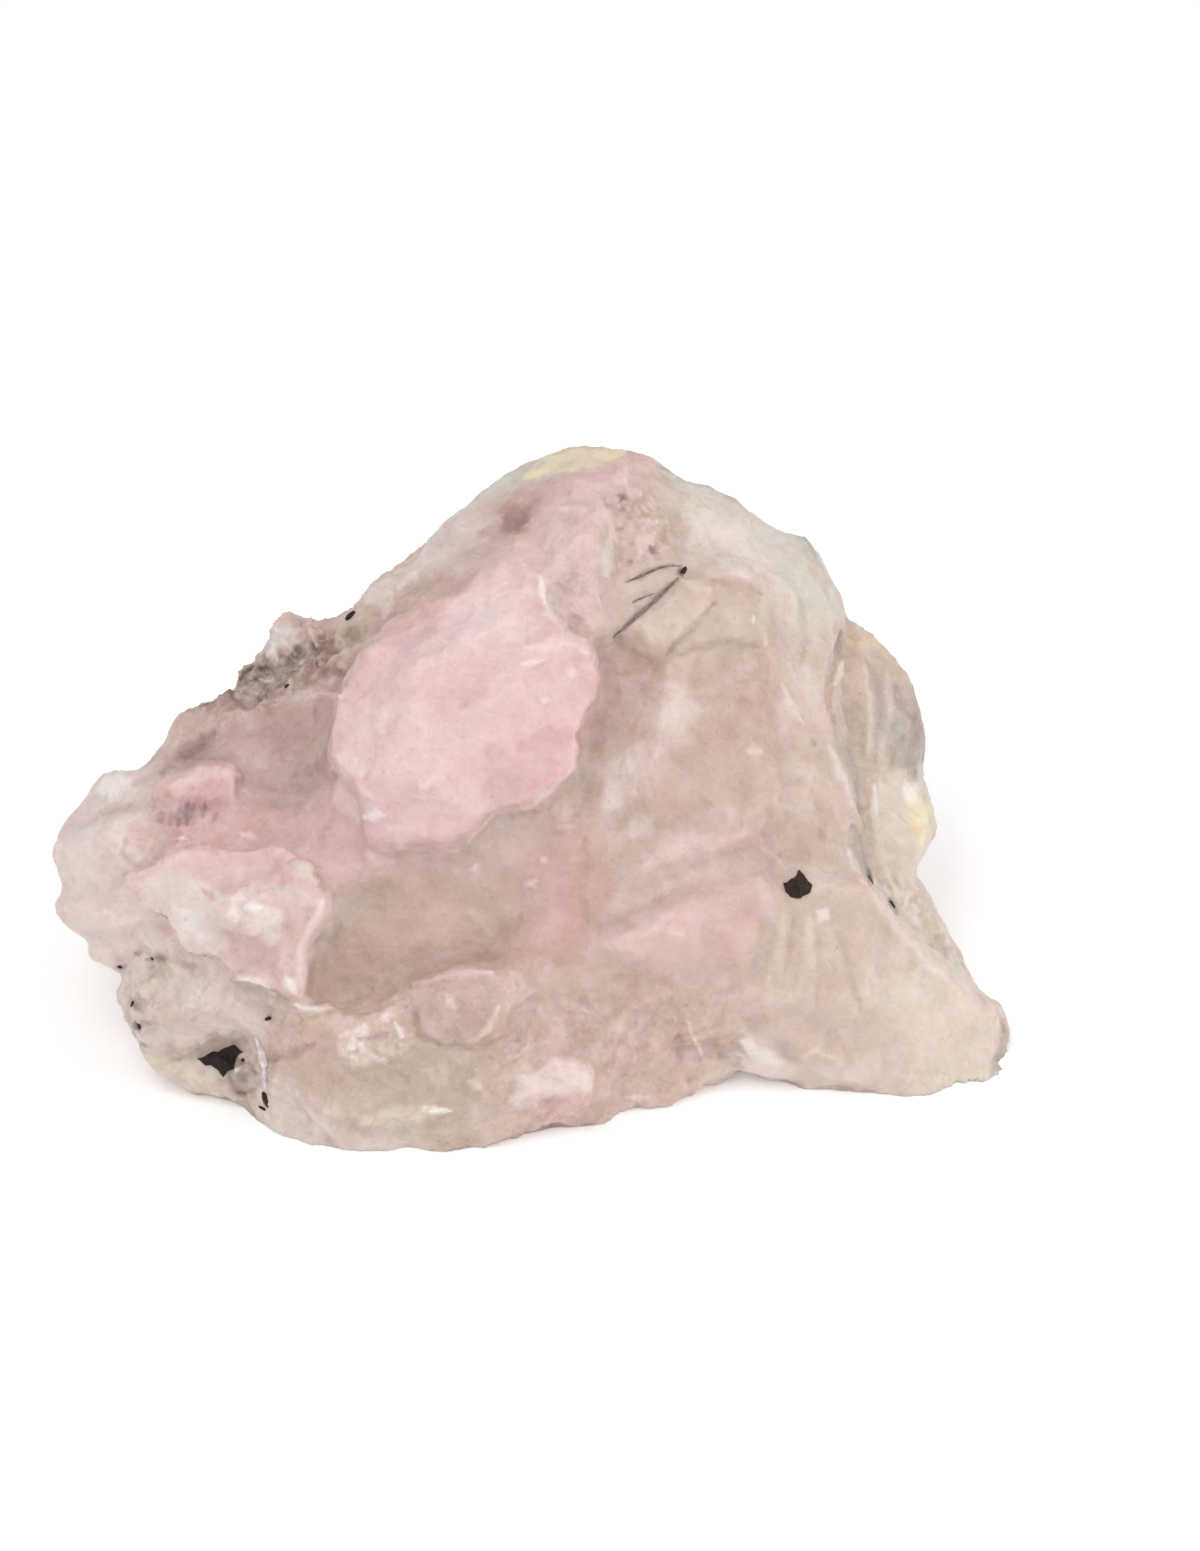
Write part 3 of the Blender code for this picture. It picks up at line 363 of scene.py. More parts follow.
MARKS = [
    # summit: yellow stain, plum blotch, pink ridge
    ("mint", 1.0, 0.0, 1.2, [(-4, 25.6), (-1, 27.4), (2, 28.8)]),
    ("yellow", 0.85, 0.1, 1.3, [(-0.6, 27.2), (3, 28.5), (7.4, 29.2)]),
    ("cream", 0.7, 0.0, 1.0, [(2, 28), (4, 28.5), (5.6, 28.8)]),
    ("plum", 0.8, -0.2, 2.0, [(-2.2, 22.8), (-0.6, 24.2)]),
    ("plum", 0.35, -0.1, 1.3, [(-4.2, 22.2), (-2.6, 22.6), (0.4, 24.8)]),
    ("rose_deep", 0.5, 0.25, 1.1, [(0.5, 25.6), (4, 26.6), (7, 27.2)]),
    ("rose_light", 0.6, 0.15, 0.7, [(7.2, 27.6), (7.8, 26.6)]),
    # slope on the upper left
    ("brown", 0.5, -0.2, 1.0, [(-12.2, 15), (-10, 16.9), (-6.6, 18.4)]),
    ("salmon", 0.7, 0.0, 1.0, [(-12.8, 13.2), (-10, 15), (-7, 16.8), (-4.6, 18.8)]),
    ("salmon", 0.5, 0.0, 1.6, [(-2.4, 24.2), (0.4, 25.4)]),
    ("salmon", 0.55, 0.0, 1.1, [(-8.6, 17.5), (-6.4, 18.7)]),
    # bright mark on the slope: a painted highlight
    ("milk", 0.95, 0.2, 0.8, [(-11.3, 17.6), (-10.5, 18.4), (-9.8, 19.1)]),
    ("cream", 0.8, 0.15, 0.5, [(-12.4, 15.4), (-11.9, 17)]),
    ("milk", 0.75, 0.0, 1.5, [(-13.8, 16.4), (-11.8, 18.2)]),
    ("olive", 0.6, -0.15, 1.1, [(-15.4, 14.2), (-14.2, 13.4)]),
    # broken grey corner
    ("blue_white", 0.9, 0.4, 1.2, [(-22.2, 12.2), (-21.4, 13.4), (-20.4, 14.6)]),
    ("dark", 0.85, -0.35, 0.75, [(-20.7, 10.6), (-20, 11.8), (-19.3, 13.2)]),
    ("dark", 0.75, -0.3, 0.55, [(-22.7, 11), (-21.4, 10.8), (-20.4, 11.2)]),
    ("dark", 0.85, 0.5, 0.6, [(-26.2, 8.8), (-25, 9.9), (-23.4, 11.2)]),
    ("dark", 0.5, -0.2, 0.35, [(-23.9, 9.6), (-22.4, 9.3), (-20.9, 9.8)]),
    ("dark", 0.55, -0.2, 0.8, [(-18.6, 12.4), (-17.4, 12.9), (-16.4, 12.6)]),
    ("plum", 0.6, -0.15, 0.7, [(-19, 11.8), (-18.2, 11), (-17, 10.8)]),
    ("plum", 0.55, 0.0, 1.4, [(-17.8, 12.4), (-15.8, 11.8)]),
    ("cream", 0.7, 0.2, 0.3, [(-22.6, 10), (-22, 10)]),
    ("milk", 0.7, 0.3, 0.4, [(-18.8, 14.4), (-18.2, 13.2)]),
    ("beige", 0.7, 0.2, 0.8, [(-16.4, 13.8), (-15.4, 12.2), (-15.8, 11)]),
    ("rose_light", 0.6, 0.1, 0.5, [(-16.8, 9.9)]),
    ("rose_light", 0.3, 0.25, 0.6, [(-21.6, 7.9), (-19.5, 8.7), (-17.5, 8.9), (-15.9, 8.6)]),
    # tan lump, hollow and smooth recess
    # plum and slate marks over a shallow groove: painted shade between the knob and the tan lump
    ("plum", 0.6, -0.3, 1.6, [(-30.2, 2.8), (-28.2, 3.9), (-26.6, 5.6)]),
    ("slate", 0.35, 0.0, 1.2, [(-29.4, 3.4), (-27.6, 4.6)]),
    ("plum", 0.45, 0.0, 1.0, [(-27.6, 3.8), (-26.2, 4.2)]),
    ("rose_light", 0.55, 0.0, 1.2, [(-25.6, 2.4), (-24.4, 2.2)]),
    ("dark", 0.5, -0.1, 0.4, [(-31.1, 2.2), (-30.4, 2.2)]),
    ("olive", 0.2, -0.1, 1.3, [(-20.4, 1.2), (-18.6, 2.6)]),
    # pink knob with its plum streaks
    ("rose_light", 0.6, 0.35, 1.0, [(-30, 1), (-27.5, 2.2), (-24.8, 2.3)]),
    ("plum", 0.45, 0.0, 1.2, [(-31.2, -1.6), (-29, -1.2), (-26.8, -0.8)]),
    ("wine", 0.5, -0.1, 0.4, [(-30.9, -2.1), (-30.6, -1.1)]),
    ("wine", 0.5, -0.1, 0.32, [(-30.1, -2.3), (-29.8, -0.8)]),
    ("wine", 0.7, -0.1, 0.35, [(-29.4, -2.2), (-29.1, -0.4)]),
    ("wine", 0.8, -0.15, 0.4, [(-28.7, -2), (-28.4, -0.1)]),
    ("wine", 0.6, -0.1, 0.3, [(-28.1, -1.4), (-27.8, 0)]),
    ("wine", 0.6, -0.1, 0.35, [(-27.2, -1.4), (-27, -0.2)]),
    ("wine", 0.4, -0.1, 0.35, [(-26.4, -1.8), (-26.1, -0.9)]),
    # left end
    ("white", 0.75, 0.1, 1.8, [(-36, 0.8), (-33.8, 1.4)]),
    # mauve line in the crease below the white lump: painted shade
    ("mauve", 0.55, -0.15, 0.9, [(-37.8, -2.1), (-35, -1), (-33, -0.6), (-31.4, -0.6)]),
    ("mauve", 0.4, -0.15, 0.45, [(-33.8, -3.2), (-33.9, -4.6), (-32.8, -5.5), (-31.2, -5.3)]),
    ("milk", 0.5, 0.2, 1.2, [(-38, -8.8), (-35.4, -9.4)]),
    ("magenta", 0.5, 0.0, 1.1, [(-33.2, -2), (-32.2, -4)]),
    ("blue_white", 0.5, 0.0, 1.6, [(-38.4, -2.8), (-36.8, -2.6)]),
    ("mauve", 0.45, 0.0, 1.2, [(-35.6, -4.8), (-34.2, -5.6)]),
    # pink saddle
    ("rose_light", 0.7, 0.15, 0.5, [(-24.2, -2.9), (-22.6, -3.2)]),
    ("white", 0.5, 0.1, 0.3, [(-29.4, -3.2), (-28.8, -3.2)]),
    # left cluster
    # two white marks on the cluster's pale face: painted highlights
    ("white", 0.65, 0.2, 0.6, [(-23.6, -8.8), (-22.2, -8.6)]),
    ("white", 0.4, 0.15, 0.6, [(-24.8, -9), (-24.2, -10.1)]),
    ("mint", 0.75, 0.25, 0.8, [(-19.6, -5.2), (-18, -5.9)]),
    ("mint", 0.55, 0.15, 1.2, [(-22.2, -9.2), (-21.4, -11.8)]),
    ("rose_light", 0.85, 0.1, 0.8, [(-17.3, -8.4), (-18.6, -11.8), (-19.1, -16.2)]),
    ("white", 0.7, 0.15, 0.7, [(-20.3, -14.8), (-19.5, -16)]),
    ("white", 0.5, 0.25, 0.45, [(-24.6, -14.9), (-22.6, -15.1), (-21.3, -16.1)]),
    ("white", 0.6, 0.25, 0.4, [(-19.6, -16.8), (-18.4, -17.4), (-16.6, -17.1)]),
    ("rose_deep", 0.55, -0.2, 0.7, [(-31, -10.6), (-29.8, -11)]),
    ("rose_deep", 0.6, -0.2, 0.5, [(-27.2, -7.5), (-26.2, -8.2)]),
    # white mark: painted light on the cluster's shaded slope
    ("white", 0.45, 0.0, 1.6, [(-28.8, -9.2), (-27, -11.4)]),
    # milk mark: painted light in the shade below the raised block
    ("milk", 0.6, 0.0, 1.2, [(-21, -7.4), (-19.2, -7.9), (-17.8, -8.4)]),
    # milk mark: painted light in the shade of the step below the cluster
    ("milk", 0.5, 0.0, 1.3, [(-24.8, -15.2), (-21.6, -16.7)]),
    # lower left corner
    ("milk", 0.0, 0.9, 0.9, [(-37.1, -12.9)]),     # a bump and a notch, unpainted
    ("milk", 0.0, -0.7, 0.9, [(-34.9, -15.2)]),
    ("dark", 0.6, -0.1, 0.45, [(-33, -12.8), (-32.4, -12.7)]),
    ("dark", 0.7, -0.1, 0.45, [(-32, -13.3), (-31.2, -13.1), (-30.4, -13.4)]),
    ("dark", 0.75, -0.2, 0.4, [(-34.6, -13.9), (-34, -13.9)]),
    ("olive", 0.6, -0.1, 0.8, [(-33.4, -16.9), (-32.2, -16.6)]),
    ("dark", 0.85, -0.2, 0.5, [(-32.9, -18.4), (-32.6, -19.2)]),
    ("dark", 0.5, -0.1, 0.3, [(-32.4, -18.5), (-31.8, -18.3)]),
    ("dark", 0.4, -0.1, 0.3, [(-32.6, -20.1), (-32, -20.5)]),
    ("umber", 0.4, -0.2, 0.6, [(-32.6, -12.4), (-29.6, -13.6), (-27.4, -13.8)]),
    ("cream", 0.7, 0.15, 0.4, [(-30.2, -13.6), (-28.8, -14.2)]),
    ("cream", 0.8, 0.0, 1.4, [(-33.6, -14.8), (-31.4, -15.4)]),
    ("tan", 0.8, 0.0, 1.8, [(-18.6, -17.7), (-17.4, -19.2)]),
    ("dark", 0.45, -0.1, 0.4, [(-33.4, -16.3), (-32.8, -17.4)]),
    ("plum", 0.6, -0.1, 0.4, [(-22.2, -18.1), (-21.4, -18.1)]),
    ("olive", 0.4, -0.2, 0.45, [(-30.4, -21.9), (-28, -21.3), (-26, -20.6), (-23.8, -20.2)]),
    ("plum", 0.75, -0.2, 0.4, [(-25.3, -22.6), (-24.7, -21.7), (-23.4, -21.9), (-22.9, -22.8)]),
    ("plum", 0.5, -0.2, 0.4, [(-25.2, -22.9), (-24.9, -23.9), (-24, -24.5), (-23, -24)]),
    ("wine", 0.5, 0.0, 0.8, [(-24.2, -22.8), (-23.8, -23.4)]),
    ("dark", 0.6, -0.1, 0.3, [(-24.6, -24.5), (-23.8, -24.4)]),
    ("white", 0.7, 0.1, 0.3, [(-24.5, -22.6)]),
    ("cream", 0.7, 0.25, 0.8, [(-31.4, -21.6), (-29, -22.6), (-27, -23.8)]),
    ("umber", 0.6, -0.3, 0.8, [(-21.9, -21.6), (-20.4, -21), (-18, -20.1)]),
    ("grey", 0.6, -0.1, 0.6, [(-21.7, -21.6), (-21.5, -23)]),
    # hollow
    # two small light spots in the hollow: painted glints
    ("rose_light", 0.8, 0.15, 0.45, [(-5.1, -5.8), (-4.5, -5.4)]),
    ("rose_light", 0.6, 0.1, 0.4, [(1, -4.9)]),
    ("rose_light", 0.5, 0.1, 0.5, [(-0.4, -7.2), (0.4, -6.6)]),
    ("beige", 0.4, 0.15, 0.7, [(-5, -9.2), (-3.4, -11.2)]),
    # umber line: painted shade in the hollow just above the lower rim's edge
    ("umber", 0.3, 0.0, 1.0, [(-18.4, -16), (-14, -16), (-10.6, -14.4), (-6, -13), (-2.4, -13)]),
    # umber line: painted shade above the pink ledge
    ("umber", 0.3, 0.0, 0.9, [(3.6, -10.8), (7, -10), (9.8, -9), (11, -8)]),
    ("brown", 0.6, 0.0, 1.5, [(4.4, -8.6), (5.6, -11)]),
    ("brown", 0.7, 0.0, 1.6, [(0.4, -12.4), (4.2, -12.6)]),
    ("rose_light", 0.85, 0.0, 1.1, [(-16.9, -7.8), (-17, -9.4), (-18.2, -11.4)]),
    ("brown", 0.9, 0.0, 1.6, [(7, -14.8), (12, -15.4)]),
    ("brown", 0.55, 0.0, 2.0, [(0.6, -19.4), (5, -19.8)]),
    ("umber", 0.35, -0.15, 0.9, [(4.6, -3), (4.2, -7), (4.6, -10)]),
    # lower rim
    ("white", 0.85, 0.2, 0.45, [(-15.3, -20.5), (-14.5, -20.4)]),
    ("white", 0.7, 0.2, 0.4, [(-11.2, -18.4), (-10.6, -19.6)]),
    ("umber", 0.4, -0.25, 0.5, [(-14.4, -19.8), (-13.2, -19.6), (-12, -19.4)]),
    ("milk", 0.5, 0.15, 0.6, [(-7, -16.2), (-6.4, -17)]),
    ("milk", 0.45, 0.0, 2.0, [(-21, -24.2), (-18, -26)]),
    ("umber", 0.3, 0.0, 1.6, [(-4.4, -24.6), (-1.8, -25.6)]),
    ("brown", 0.5, 0.0, 2.0, [(3.4, -17.4), (7, -17.6)]),
    ("cream", 0.45, 0.0, 2.0, [(13.4, -22.4), (16.4, -22.9)]),
    ("brown", 0.55, 0.0, 1.7, [(0, -14.4), (-0.4, -18.2)]),
    ("shell", 0.5, 0.0, 1.0, [(2.4, -15.2), (2.6, -16.6)]),
    ("rose_light", 0.4, 0.2, 0.5, [(-9.8, -15.2), (-6.6, -14.2), (-3.2, -14.2)]),
    ("cream", 0.7, 0.25, 0.45, [(-2.7, -16.9), (-3.4, -18.6), (-4.6, -19.7)]),
    ("umber", 0.7, -0.25, 0.6, [(-9.6, -17.6), (-9.2, -19.4), (-7.6, -20.2)]),
    ("umber", 0.35, -0.2, 0.6, [(-7.6, -20.4), (-4.4, -20.4), (-2, -19.6)]),
    ("cream", 0.7, 0.2, 0.7, [(-5.2, -23.2), (-4.2, -23.8)]),
    # pale band low on the rim: the stone's cream streaks with a painted highlight; the white mark below is
    # a painted glint
    ("cream", 0.7, 0.25, 1.2, [(-14, -26.6), (-11, -26), (-7.4, -25.8)]),
    ("white", 0.85, 0.15, 0.35, [(-9, -25.6), (-6.6, -25.7)]),
    ("cream", 0.85, 0.15, 0.3, [(7.6, -24.7), (9.6, -24.6)]),
    ("umber", 0.6, -0.25, 0.9, [(12.2, -19.6), (12.4, -21.6)]),
    ("cream", 0.8, 0.15, 0.25, [(12.9, -18.3), (13.7, -20.4), (14.6, -22)]),
    # main plate
    ("rose_light", 0.85, 0.1, 0.4, [(-16.6, 2.6), (-15.6, 2.2), (-14.4, 1), (-13.2, 0.2)]),
    ("rose_light", 0.75, 0.05, 0.4, [(3.4, 2.4), (1.6, 0.8), (0, -0.6), (-3, -1.1), (-5.2, -3.6)]),
    ("rose_light", 0.85, 0.1, 0.35, [(-6, -4.1), (-8.4, -3.9), (-11, -3.9)]),
    # small white mark on the plate: a painted glint
    ("white", 0.4, 0.15, 0.45, [(-0.8, 11.2), (1, 11.5)]),
    ("rose_deep", 0.75, -0.2, 1.2, [(-1, 4.4), (1.6, 5), (4, 5.4)]),
    ("rose_deep", 0.4, -0.2, 1.0, [(-5.8, 7.6), (-4, 8.8), (-2, 10)]),
    # two small white marks on the plate: painted glints
    ("white", 0.4, 0.1, 0.5, [(0.8, 8.3), (1.3, 8.3)]),
    ("white", 0.35, 0.15, 0.5, [(3.2, 10), (3.6, 10.8)]),
    ("white", 0.55, 0.2, 0.65, [(-13.7, -1.4), (-12.9, -1.1), (-12.2, -1.2)]),
    ("rose_light", 0.45, 0.3, 1.6, [(-12.6, 6), (-10, 11), (-7, 14.6)]),
    ("rose_light", 0.35, 0.25, 1.4, [(-9, 1), (-5, 4.6), (-2, 6.2)]),
    ("rose_light", 0.25, 0.2, 1.0, [(1.6, 8), (3.2, 11)]),
    ("rose_light", 0.45, 0.0, 1.4, [(-9.6, -0.8), (-6.6, 0.4), (-4, -0.8)]),
    # light pink marks, in this row and the next two: painted light over the shade of the plate's worn
    # lower-left step
    ("rose_light", 1.0, 0.0, 1.6, [(-15.8, 1.8), (-14.4, -1.6)]),
    ("rose_light", 0.9, 0.0, 1.7, [(-15.8, 3.4), (-14, 2.2)]),
    ("rose_light", 0.7, 0.0, 1.2, [(-13.8, -4.4), (-11.4, -4.9)]),
    ("rose_light", 0.3, 0.1, 1.2, [(-11.8, -2.2), (-8.6, -2.8), (-6.4, -2)]),
    ("milk", 0.6, 0.25, 0.7, [(0.8, 18.2), (1.4, 15.8), (2.6, 14)]),
    ("white", 0.55, 0.1, 0.45, [(0.7, 18.6), (0.8, 17.4), (1.1, 16.2)]),
    ("rose_light", 0.4, 0.25, 1.0, [(-0.5, 12.6), (2.4, 12.8), (4.6, 12)]),
    # slot and the steps beside it
    ("brown", 0.6, -0.2, 1.2, [(7.4, 10.4), (9.6, 11.4), (12, 12.2)]),
    # column, needles' bed and blocks
    ("mauve", 0.25, 0.25, 1.6, [(2.6, 14.6), (3.4, 18), (4.6, 22)]),
    ("rose_deep", 0.6, 0.0, 1.4, [(3.4, 16), (5.2, 16)]),
    ("rose_light", 0.5, 0.0, 2.0, [(2.6, 19.6), (3, 21), (2.4, 22.8)]),
    ("mint", 0.9, 0.2, 0.8, [(6.1, 18.6), (6.5, 21.6)]),
    ("milk", 0.5, 0.15, 0.6, [(2.4, 24.4), (4.6, 24)]),
    ("umber", 0.4, -0.15, 1.0, [(7, 20), (8.2, 22), (8.4, 24.6)]),
    ("umber", 0.4, 0.0, 1.3, [(7.4, 19.8), (8.8, 20.4)]),
    ("umber", 0.35, 0.0, 0.9, [(6.7, 24.5), (7.2, 23.2)]),
    ("dark", 0.65, -0.1, 0.55, [(7.2, 25.5), (7.7, 25.2)]),
    ("dark", 0.5, -0.1, 0.35, [(7.5, 24.2)]),
    ("dark", 0.45, -0.1, 0.35, [(7, 22.4), (7.8, 22.7)]),
    ("dark", 0.5, -0.1, 0.35, [(8.3, 21.3)]),
    ("dark", 0.75, -0.1, 0.45, [(9.9, 21.1), (10.1, 20.6)]),
    ("dark", 0.5, -0.1, 0.3, [(8, 19.9), (8.4, 19.7)]),
    ("dark", 0.8, -0.1, 0.5, [(12.4, 19.4), (12.6, 18.8)]),
    # three dark lines along the needles: painted shadows of the needles
    ("dark", 0.55, -0.1, 0.4, [(12.2, 18.5), (10.4, 16.8), (8.4, 15), (6.8, 13.5)]),
    ("dark", 0.45, -0.1, 0.35, [(11.8, 19.6), (10.4, 19.2), (9.2, 18.6), (7.9, 18.1)]),
    ("dark", 0.4, -0.1, 0.3, [(10.2, 17.2), (9.2, 16.8), (8.4, 16.4)]),
    ("umber", 0.5, -0.1, 0.6, [(6.9, 13.8), (7.6, 12.6)]),
    ("umber", 0.35, -0.15, 0.7, [(15, 18.3), (17.2, 18.2), (19.2, 17.2)]),
    ("cream", 0.55, 0.25, 0.7, [(12.6, 18.2), (14.8, 17.6)]),
    ("umber", 0.4, -0.25, 0.5, [(15.2, 16.4), (12.8, 13.8), (11.2, 12)]),
    ("white", 0.7, 0.1, 0.3, [(18.5, 15.2), (18.6, 14.6)]),
    ("umber", 0.35, -0.2, 0.6, [(12.4, 12), (15.6, 13.2), (18.8, 12.8)]),
    ("cream", 0.4, 0.2, 0.6, [(19.2, 17), (19.4, 13)]),
    # white rim
    ("grey", 0.85, -0.1, 0.9, [(10.6, 28), (14.2, 26.9), (18.4, 25.2), (22.4, 22.4), (25, 18.2)]),
    ("cream", 0.35, 0.15, 0.8, [(22.4, 21.8), (24.4, 19), (26, 15.8)]),
    ("tan", 0.45, 0.1, 0.45, [(21.4, 21.6), (22.8, 20.6), (24.4, 18.2), (25.4, 15.6)]),
    ("umber", 0.3, -0.1, 0.6, [(22.2, 17), (22.8, 14), (22.6, 11.6)]),
    # panel
    ("cream", 0.55, 0.15, 0.6, [(17.9, 4), (19, 4.1)]),
    ("milk", 0.65, 0.0, 1.7, [(10, 7.6), (12.4, 7.2)]),
    # milk mark: painted light on a shaded part of the panel
    ("milk", 0.75, 0.0, 1.9, [(6.6, -0.4), (7.6, 2.6), (9, 4.6)]),
    ("rose_light", 0.3, 0.1, 1.4, [(9.4, -5.6), (13, -3.8), (17.6, -3)]),
    ("umber", 0.3, -0.15, 0.7, [(19.2, -2.8), (20.8, -4.6)]),
    # milk mark: painted light on a shaded part of the panel
    ("milk", 0.5, 0.0, 1.6, [(8.4, -2.6), (9.8, -1.4)]),
    # cream band and crevice
    ("milk", 0.5, 0.2, 0.5, [(20.9, 9.6), (21.6, 8), (22.6, 6.4)]),
    ("mint", 0.6, 0.1, 1.0, [(22.8, 11.4), (23.4, 9.4), (23.4, 7.4)]),
    ("olive", 0.8, -0.1, 0.45, [(23.4, 5.2), (23.6, 4.4)]),
    ("olive", 0.5, -0.1, 0.5, [(24.2, -3.2), (24, -2.4)]),
    ("blue_white", 0.5, 0.2, 0.6, [(24.8, 4.6), (26, 1.8), (26.8, -1)]),
    ("grey", 0.7, -0.25, 0.7, [(25.2, 7.4), (25.8, 4.6), (26.8, 2.2), (27.4, -1)]),
    ("milk", 0.6, 0.25, 0.6, [(26.3, -4), (27, -5.6), (27.9, -7.2)]),
    ("grey", 0.85, -0.35, 0.85, [(26.9, -2.2), (27.4, -4.6), (28.2, -7)]),
    ("dark", 0.75, -0.2, 0.3, [(28.1, -6), (28.4, -7.2)]),
    ("umber", 0.7, -0.4, 0.55, [(26, 14), (25.4, 11.4), (24.9, 9.4), (25, 7.6)]),
    ("yellow", 0.6, 0.3, 0.5, [(26.1, 11.6), (25.7, 10.4), (25.3, 9.6)]),
    # right lump
    ("orange", 0.45, 0.1, 0.7, [(26.6, 13.4), (29, 13.4), (30.6, 12)]),
    ("grey", 0.6, -0.15, 1.2, [(30.6, 7.4), (31.4, 5.2), (31.8, 3.2)]),
    ("dark", 0.5, -0.1, 0.35, [(31.2, 5.6), (31.4, 4.9)]),
    ("blue_white", 0.35, 0.15, 0.7, [(29.8, 11), (29.8, 8), (29.4, 4.6)]),
    ("mint", 0.4, 0.2, 0.5, [(28, 11.8), (28.4, 7.6), (28, 3.6)]),
    ("grey", 0.55, -0.12, 0.7, [(28.8, 11.4), (29.3, 7.4), (28.8, 3.2)]),
    ("yellow", 0.9, 0.15, 1.3, [(31.9, 0.8), (32.6, -1.2), (32.6, -3.6)]),
    ("orange", 0.65, 0.0, 1.0, [(32.1, -1.8), (32.3, -3)]),
    ("white", 0.5, 0.0, 1.2, [(31.4, 1.4), (32.1, 0)]),
    ("white", 0.5, 0.2, 0.4, [(28.6, 1.4), (28.8, -2.4)]),
    # strip behind the spur
    ("dark", 0.6, -0.15, 0.4, [(29.9, -8.2), (30.5, -9.6)]),
    ("olive", 0.3, -0.1, 0.8, [(32.6, -9.6), (34.8, -13)]),
    ("cream", 0.6, 0.2, 0.5, [(31.6, -9.2), (33.4, -12)]),
    # spur
    ("milk", 0.9, 0.15, 0.9, [(23.8, -9.3), (24.5, -9.8)]),
    ("umber", 0.15, -0.12, 0.5, [(21.8, -9.8), (21.5, -12), (20.9, -14.6)]),
    ("cream", 0.3, 0.12, 0.6, [(21, -9.6), (20.4, -12.4), (19.4, -15.4)]),
    ("cream", 0.25, 0.12, 0.6, [(23, -9.8), (22.7, -13), (22.2, -16)]),
    ("umber", 0.2, -0.1, 0.5, [(23.8, -11), (23.8, -14), (23.6, -17)]),
    ("umber", 0.2, -0.1, 0.6, [(25.4, -11), (26.4, -14.4), (27.4, -17.6)]),
    ("milk", 0.45, 0.3, 1.0, [(27.6, -6.6), (31, -11), (34.6, -15)]),
    ("white", 0.3, 0.2, 0.7, [(17.3, -20), (19.2, -21.2), (21, -21.9)]),
    ("blue_white", 0.6, 0.2, 0.8, [(18, -20.9), (20.4, -22)]),
    ("cream", 0.7, 0.15, 0.35, [(22.2, -21.5), (23.6, -20.8), (25.2, -21.6)]),
    ("cream", 0.7, 0.15, 0.5, [(32, -23.2), (34.6, -23.2)]),
    ("yellow", 0.35, 0.0, 0.9, [(36.2, -20.6), (37, -21.4)]),
    ("cream", 0.1, 1.3, 1.3, [(34.6, -25), (37, -24.4), (38.8, -22.4)]),
    ("grey", 0.85, -0.2, 0.7, [(39.4, -18.4), (39.7, -20.6), (38.4, -23.2)]),
    # pink ledge
    ("rose_light", 0.3, 0.1, 0.8, [(7.6, -11.2), (10, -10.6), (12.6, -11.2)]),
    ("rose_light", 0.5, 0.0, 1.3, [(8.4, -9.8), (11.6, -9.4)]),
    # light pink mark: painted light on the ledge's shaded lower slope
    ("rose_light", 0.5, 0.0, 1.6, [(6.2, -12), (9, -12.8)]),
]

# ---- tones of the back: colour, cover, size in mm, level ----

BACK_TONES = [
    ("rose", 0.85, 14.0, 0.6),
    ("milk", 0.6, 9.0, 0.15),
    ("rose_deep", 0.6, 11.0, 0.2),
    ("brown", 0.6, 8.0, 0.05),
    ("cream", 0.6, 6.0, 0.0),
    ("tan", 0.4, 5.0, -0.15),
    ("olive", 0.3, 4.0, -0.3),
]

# ---- minerals grown into the quartz ----

BLACK_GRAIN = [
    (20.8, -7), (21.2, -6.6), (21.8, -6.4), (22.3, -5.8), (22.8, -6.3), (23, -6.7), (23.4, -7.1),
    (23.1, -7.7), (22.4, -8.2), (21.4, -8),
]
BLACK_PATCH = [
    (-27.9, -21.6), (-26.5, -20.9), (-24.9, -20.4), (-24.1, -20.8), (-24.6, -21.6), (-24.8, -22.5),
    (-25.5, -23), (-26.3, -22.4),
]
PLATE_WEAR = 0.28                   # how far a black plate's outline is worn, in mm
# rings of a black plate from below its rim to its top: share of its outline, rise in mm
PLATE_RINGS = (
    (0.9, -0.8), (1.0, -0.02), (0.95, 0.16), (0.78, 0.28), (0.6, 0.3), (0.42, 0.38), (0.22, 0.36),
)
# small dark grains: u, v, length, width, turn in degrees
GRAINS = [
    (-15.2, 15.4, 1.1, 0.8, 40), (-32.7, -18.8, 0.8, 0.4, 70), (-34.3, -13.9, 0.5, 0.3, 0),
    (-31.5, -13.2, 0.5, 0.3, -30), (-33.2, -16.9, 0.6, 0.3, 50), (-21.8, -18.1, 0.6, 0.35, 15),
    (-24.0, -21.6, 0.5, 0.3, 30), (-22.1, -24.9, 1.6, 0.6, 86), (-22.4, -25.6, 0.9, 0.35, 5),
    (12.6, 19.1, 0.9, 0.5, 60),
    (-20.5, 9.5, 0.5, 0.35, 30), (28.3, -6.7, 0.8, 0.25, 105), (30.2, -8.8, 0.8, 0.3, 110),
]
# needles: radius at the middle, the points they run through
NEEDLES = [
    (0.15, [(6.7, 13.5), (8.6, 15.1), (10.4, 16.7), (12.5, 18.8)]),
    (0.1, [(12.5, 19.5), (10.8, 19.4), (9.2, 18.7), (7.8, 18.1)]),
    (0.07, [(8.3, 16.4), (9.2, 16.8), (10.2, 17.2)]),
]
PALE_SLIVER = (0.32, [(-22.9, -19.6), (-22.3, -21), (-22.1, -22.4), (-22.1, -24)])
NEEDLE_SIDES = 6
NEEDLE_STEPS = 16
NEEDLE_TIP = 0.3                    # radius of a needle's ends, as a share of its radius
ABOVE_FACE = 60.0                   # w from which the surface is looked down on
BESIDE_FACE = -12.0                 # w from which the nearest surface is taken where that fails
